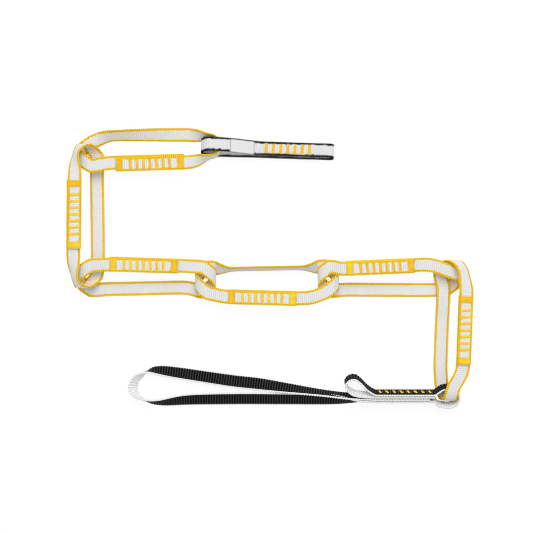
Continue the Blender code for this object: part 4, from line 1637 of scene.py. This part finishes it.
    def dress(self, origin: Array, finishes: Finishes) -> None:
        """Build and place every piece of the end loop.

        Args:
            origin: World place of the first joint.
            finishes: Shared finishes.
        """
        rows = self.rows()
        matrix = heading_matrix(self.heading)
        outward = np.stack([rows[:, 3], np.zeros(len(rows)), rows[:, 4]], axis=1)
        route = Route.along(rows[:, :3], outward).turned(matrix, origin)
        add_piece(
            "end_loop_woven_tape", END_WEAVE.woven(route), WEAVE_ATTRIBUTE,
            finishes.end_tape, "end_loop", "end_loop_tape", Slot.END_TAPE,
        )
        middle = self.seam_start + self.seam_length / 2.0
        front = self.layer_shift / 2.0
        top = GAUGE.sewn_low_level + 2.0 * GAUGE.layer_step + GAUGE.thickness / 2.0
        bottom = GAUGE.sewn_low_level - GAUGE.thickness / 2.0
        run = np.array([1.0, 0.0, 0.0])
        upper = Patch.facing(np.array([middle, front, top]), run, UP).turned(matrix, origin)
        lower = Patch.facing(np.array([middle, -front, bottom]), run, -UP).turned(matrix, origin)
        rng = np.random.default_rng(self.seed)
        sewn = {
            "bar_tacks": self.bars.sewn(upper, rng),
            "bobbin_thread": self.bobbin.sewn(lower, rng),
        }
        add_sewing("end_loop", sewn, self.amber, finishes)
        route, along = self.label(rows)
        section = flat_section(self.label_face_points, self.label_power)
        across, swell, side = (row[None, :] for row in section)
        reach, height = across * self.label_width / 2.0, side * swell * self.label_thickness / 2.0
        add_piece(
            "end_loop_satin_label",
            Shell.swept(route.turned(matrix, origin), reach, height, side, along), WEAVE_ATTRIBUTE,
            SATIN.material(self.label_width, self.label_length),
            "end_loop", "end_loop_label", Slot.LABEL,
        )


@dataclass(frozen=True)
class Sling:
    """Sling: one tape through a leaning seam of four layers, two eyes and a long loop."""

    link_eye_shares: tuple[tuple[float, float], ...] = (
        (0.25, 0.28), (0.62, 0.50), (1.16, 0.54), (1.61, 0.32), (1.78, -0.10),
        (1.61, -0.56), (1.16, -0.76), (0.67, -0.74), (0.28, -0.64),
    )
    small_eye_shares: tuple[tuple[float, float], ...] = (
        (0.59, -0.02), (1.17, 0.03), (1.67, 0.16), (2.01, 0.43), (2.15, 0.83), (1.92, 1.16),
        (1.51, 1.24), (1.10, 0.97), (0.59, 0.47),
    )
    long_loop_shares: tuple[tuple[float, float], ...] = (
        (0.070, -0.48), (0.127, -0.42), (0.199, -0.37), (0.386, -0.33), (0.572, -0.32),
        (0.759, -0.38), (0.873, -0.56), (0.926, -0.43), (0.967, -0.06), (0.981, 0.43),
        (0.975, 0.93), (0.954, 1.32), (0.921, 1.63), (0.881, 1.71), (0.808, 1.55),
        (0.666, 1.17), (0.572, 0.93), (0.479, 0.75), (0.386, 0.52), (0.292, 0.29),
        (0.199, 0.07), (0.106, -0.12),
    )
    long_loop_leans: tuple[float, ...] = (
        5, 30, 50, 60, 62, 55, 27, 8, -16, -30, -31, -23, 3, 35, 54, 62, 66, 64, 48, 32, 22, 22,
    )
    seam_start: float = 0.0120
    seam_length: float = 0.0490
    seam_side: float = 0.0014
    seam_margin: float = 0.0003
    loop_length: float = 0.2095
    layers: int = 4
    lean: float = 22.0
    first_end: float = 0.0005
    last_end: float = 0.0035
    seed: int = 12
    bars: Ladder = Ladder(
        8, 0.0060, Tack(length=0.0018, span=0.0040, slant=0.0013), hop_height=-0.0003
    )
    bobbin: Ladder = Ladder(8, 0.0060, Tack(length=0.0014, span=0.0054, pitch=0.00050))
    steps: int = 20

    def edge_height(self, degrees: Numbers) -> Array:
        """Middle height of a leaning tape just off the floor.

        It is W/2 cos a + T/2 |sin a| plus the floor gap.

        Args:
            degrees: Lean from upright.

        Returns:
            The height at each lean.
        """
        angle = np.radians(degrees)
        half = GAUGE.width / 2.0 * np.cos(angle) + GAUGE.thickness / 2.0 * np.abs(np.sin(angle))
        return half + GAUGE.floor_gap

    def stack(self) -> tuple[Array, Array]:
        """Directions across the width and through the layers of the seam."""
        sine, cosine = math.sin(math.radians(self.lean)), math.cos(math.radians(self.lean))
        return np.array([0.0, -sine, cosine]), np.array([0.0, cosine, sine])

    def stack_point(self, layer: int, ahead: float) -> Array:
        """Middle of a seam layer.

        Args:
            layer: Number of the layer, 0 on top.
            ahead: Distance from the last joint.

        Returns:
            The point.
        """
        through = self.stack()[1]
        half_stack = (self.layers - 1) / 2.0 * GAUGE.layer_step
        height = self.edge_height(self.lean) + half_stack * through[2]
        base = np.array([-ahead, -self.seam_side, float(height)])
        return base + through * (half_stack - layer * GAUGE.layer_step)

    def eye(
        self,
        shares: Sequence[Sequence[float]],
        seam_end: float,
        outside: int,
        first: int,
        last: int,
    ) -> Array:
        """Curve round an eye at one end of the seam, between two of its layers.

        Args:
            shares: Places away from the seam and aside, in tape widths.
            seam_end: Distance of that end of the seam from the last joint.
            outside: Direction away from the seam.
            first: Layer that the curve leaves.
            last: Layer that it comes back to.

        Returns:
            The curve's points.
        """
        start = self.stack_point(first, seam_end)
        finish = self.stack_point(last, seam_end)
        rows = np.array(shares) * GAUGE.width
        fall = smoothstep(np.linspace(0.0, 1.0, len(rows) + 2)[1:-1])
        heights = start[2] + (finish[2] - start[2]) * fall
        rows = np.column_stack([outside * rows[:, 0] - seam_end, rows[:, 1], heights])
        steer = np.array([outside * GAUGE.width / 2.0, 0.0, 0.0])
        rows = np.vstack([start - steer, start, rows, finish, finish - steer])
        return catmull_rom(rows, self.steps)

    def long_loop(self, seam_far: float) -> tuple[Array, Array]:
        """Long loop standing on its lower edge, and the directions of its width.

        At a lean a the width's direction is (sin a d_y, -sin a d_x, cos a), where d
        is the direction of the run seen from above.

        Args:
            seam_far: Distance of the seam's far end from the last joint.

        Returns:
            The centre line's points and the width's directions.
        """
        start = self.stack_point(self.layers - 1, seam_far)
        finish = self.stack_point(self.layers - 2, seam_far)
        lifts = [start[2] - self.edge_height(self.lean), finish[2] - self.edge_height(self.lean)]
        shares = np.array(self.long_loop_shares)
        plan = [-seam_far - shares[:, 0] * self.loop_length, shares[:, 1] * GAUGE.width]
        rows = np.column_stack([*plan, self.long_loop_leans, np.zeros(len(shares))])
        rows[[0, -1], 3] = np.array(lifts) / 2.0
        way_in = np.array([start[0], start[1], -self.lean, lifts[0]])
        way_out = np.array([finish[0], finish[1], self.lean, lifts[1]])
        steer = np.array([GAUGE.width / 2.0, 0.0, 0.0, 0.0])
        ends = [way_in + steer, way_in, rows, way_out, way_out + steer]
        curve = catmull_rom(np.vstack(ends), self.steps)
        ahead = unit(np.gradient(curve[:, :2], axis=0))
        lean = np.radians(curve[:, 2])
        height = self.edge_height(curve[:, 2]) + np.maximum(curve[:, 3], 0.0)
        widths = [np.sin(lean) * ahead[:, 1], -np.sin(lean) * ahead[:, 0], np.cos(lean)]
        return np.column_stack([curve[:, :2], height]), np.column_stack(widths)

    def layer(self, number: int, start: float, end: float) -> Array:
        """Points of one seam layer between two distances from the last joint."""
        first, last = self.stack_point(number, start), self.stack_point(number, end)
        return first + (last - first) * np.linspace(0.0, 1.0, self.steps)[:, None]

    def route(self) -> Route:
        """Centre line of the sling in its own frame, from the last joint along -X.

        It starts in the second layer, goes round the small eye into the top layer,
        round the link's eye into the lowest one, out into the long loop and back
        into the third.

        Returns:
            The route.
        """
        width = self.stack()[0]
        near = self.seam_start
        far = near + self.seam_length
        sewn_near, sewn_far = near + self.seam_margin, far - self.seam_margin
        loop, loop_widths = self.long_loop(far)
        pieces = [
            self.layer(1, near - self.first_end, sewn_far),
            self.eye(self.small_eye_shares, far, -1, 1, 0),
            self.layer(0, sewn_far, sewn_near),
            self.eye(self.link_eye_shares, near, 1, 0, 3),
            self.layer(3, sewn_near, sewn_far),
            loop,
            self.layer(2, sewn_far, near + self.last_end),
        ]
        widths = [np.tile(width, (len(piece), 1)) for piece in pieces]
        widths[-2] = loop_widths
        points = np.vstack(pieces)
        return Route.along(points, np.cross(np.vstack(widths), np.gradient(points, axis=0)))

    def dress(self, origin: Array, finishes: Finishes) -> None:
        """Build and place every piece of the sling.

        Args:
            origin: World place of the last joint.
            finishes: Shared finishes.
        """
        route = self.route().turned(np.eye(3), origin)
        add_piece(
            "sling_woven_tape", SLING_WEAVE.woven(route), WEAVE_ATTRIBUTE,
            finishes.sling_tape, "sling", "sling_tape", Slot.SLING_TAPE,
        )
        through = self.stack()[1]
        along = np.array([-1.0, 0.0, 0.0])
        middle = self.seam_start + self.seam_length / 2.0
        face = through * GAUGE.thickness / 2.0
        upper = Patch.facing(self.stack_point(0, middle) + face + origin, along, through)
        lowest = self.stack_point(self.layers - 1, middle)
        lower = Patch.facing(lowest - face + origin, along, -through)
        rng = np.random.default_rng(self.seed)
        sewn = {
            "bar_tacks": self.bars.sewn(upper, rng),
            "bobbin_thread": self.bobbin.sewn(lower, rng),
        }
        add_sewing("sling", sewn, (), finishes)


@dataclass(frozen=True)
class Studio:
    """Pale floor, soft light and the camera straight above."""

    floor_size: float = 8.0
    floor_colour: Colour = (0.93, 0.93, 0.93)
    floor_glow: float = 1.02
    floor_glow_share: float = 0.88
    world_strength: float = 0.69
    key_power: float = 30.0
    key_size: float = 1.6
    key_place: tuple[float, float, float] = (0.15, 1.1, 1.9)
    camera_place: tuple[float, float, float] = (-0.00249, 0.00131, 1.2600)
    lens: float = 100.1
    pixel_filter: float = 1.0

    def floor(self) -> None:
        """Floor that shows white to the camera and keeps a soft shadow."""
        half = self.floor_size / 2.0
        mesh = bpy.data.meshes.new("studio_floor")
        corners = np.array([[-1, -1, 0], [1, -1, 0], [1, 1, 0], [-1, 1, 0]], float) * half
        mesh.from_pydata(corners.tolist(), [], [[0, 1, 2, 3]])
        made, tree = new_material("studio_floor")
        diffuse = tree.node("ShaderNodeBsdfDiffuse", sockets={"Color": (*self.floor_colour, 1.0)})
        glow_sockets = {"Color": CLEAR_WHITE, "Strength": self.floor_glow}
        glow = tree.node("ShaderNodeEmission", sockets=glow_sockets)
        seen = self.seen_directly(tree) * self.floor_glow_share
        sockets = {"Fac": seen, "Shader": diffuse.outputs[0], "Shader_001": glow.outputs[0]}
        mixed = tree.node("ShaderNodeMixShader", sockets=sockets)
        tree.node("ShaderNodeOutputMaterial", sockets={"Surface": mixed.outputs[0]})
        mesh.materials.append(made)
        floor = bpy.data.objects.new("studio_floor", mesh)
        bpy.context.scene.collection.objects.link(floor)

    def seen_directly(self, tree: ShaderTree) -> Value:
        """One for rays from the camera, from gloss and through glass, else zero.

        Args:
            tree: Tree that the nodes go into.

        Returns:
            The mask.
        """
        path = tree.node("ShaderNodeLightPath").outputs
        names = ("Is Camera Ray", "Is Glossy Ray", "Is Transmission Ray")
        camera, gloss, glass = (Value(tree, path[name]) for name in names)
        return camera.math("MAXIMUM", gloss).math("MAXIMUM", glass)

    def world(self) -> None:
        """Even light from all round, seen as white."""
        world = bpy.data.worlds.new("studio_world")
        bpy.context.scene.world = world
        world.use_nodes = True
        tree = ShaderTree(world.node_tree)
        light, shown = (
            tree.node("ShaderNodeBackground", sockets={"Color": CLEAR_WHITE, "Strength": strength})
            for strength in (self.world_strength, 1.0)
        )
        seen = self.seen_directly(tree)
        sockets = {"Fac": seen, "Shader": light.outputs[0], "Shader_001": shown.outputs[0]}
        mixed = tree.node("ShaderNodeMixShader", sockets=sockets)
        tree.node("ShaderNodeOutputWorld", sockets={"Surface": mixed.outputs[0]})

    def key_light(self) -> None:
        """Large soft light from beyond the picture's top, turned towards the middle."""
        data = bpy.data.lights.new("key_light", "AREA")
        data.energy = self.key_power
        data.size = self.key_size
        light = bpy.data.objects.new("key_light", data)
        light.location = self.key_place
        across, back, up = self.key_place
        steep = math.acos(up / math.sqrt(across**2 + back**2 + up**2))
        light.rotation_euler = (steep, 0.0, math.atan2(across, -back))
        bpy.context.scene.collection.objects.link(light)

    def camera(self) -> None:
        """Camera straight above, with the picture's top towards +Y."""
        data = bpy.data.cameras.new("camera")
        data.lens = self.lens
        camera = bpy.data.objects.new("camera", data)
        camera.location = self.camera_place
        bpy.context.scene.collection.objects.link(camera)
        bpy.context.scene.camera = camera

    def set_up(self) -> None:
        """Make the stage and choose the plain view transform."""
        self.floor()
        self.world()
        self.key_light()
        self.camera()
        bpy.context.scene.view_settings.view_transform = "Standard"
        bpy.context.scene.cycles.filter_width = self.pixel_filter


LINKS = (
    Link(
        number=1, heading=183.1, side=1, pitch_share=1.025,
        sewn=Strand(0.98, slant=-1.2),
        free=Strand(1.16, slant=-2.2, bow_share=0.06, roll_near=0.0, roll_far=62.0),
        seam_shift_share=-0.012, inner_layer_share=-0.15, near=STANDING_END, far=SHORT_END,
        amber=("tack_start", "tack_end", "bar_tacks"),
    ),
    Link(
        number=2, heading=269.6, side=-1, pitch_share=1.005,
        sewn=Strand(0.70), free=Strand(0.87, slant=1.2, bow_share=0.02),
        seam_shift_share=-0.012, inner_layer_share=0.09, near=CURLED_END, far=CURLED_END,
        amber=("tack_start",),
    ),
    Link(
        number=3, heading=-0.9, side=1, pitch_share=0.985,
        sewn=Strand(1.00, slant=-0.8), free=Strand(0.69, slant=2.1, bow_share=0.03),
        seam_shift_share=-0.007, inner_layer_share=0.07, near=SHORT_END, far=LOW_END,
        amber=("tack_end",),
    ),
    Link(
        number=4, heading=0.5, side=-1, pitch_share=0.997,
        sewn=Strand(1.40, slant=-2.1),
        free=Strand(0.78, slant=0.6, bow_share=0.06, roll_near=76.0, roll_far=76.0),
        seam_shift_share=-0.039, inner_layer_share=-0.06, near=RAISED_END, far=RAISED_END,
        amber=("tack_start",),
    ),
    Link(
        number=5, heading=0.9, side=1, pitch_share=1.010,
        sewn=Strand(0.81, slant=1.5), free=Strand(0.90, slant=-1.3, bow_share=0.02),
        seam_shift_share=-0.083, inner_layer_share=0.08, near=LOW_END, far=TUCKED_END,
        amber=("tack_end", "bar_tacks"),
    ),
    Link(
        number=6, heading=267.8, side=1, pitch_share=0.957,
        sewn=Strand(0.98), free=Strand(0.58, bow_share=0.02),
        seam_shift_share=-0.055, inner_layer_share=-0.04, near=WRAPPED_END, far=EYE_END,
        amber=("tack_start",),
    ),
)


def main() -> None:
    """Dress the chain, from the end loop to the sling, and set up the studio."""
    logging.basicConfig(level=logging.INFO, format="%(message)s")
    places = {joint["name"]: np.array(joint["pos_m"]) for joint in frame["joints"]}
    finishes = Finishes()
    EndLoop().dress(places["joint_1"], finishes)
    for link in LINKS:
        link.dress(places[link.joint], finishes)
    Sling().dress(places["joint_7"], finishes)
    Studio().set_up()


if __name__ == "__main__":
    main()
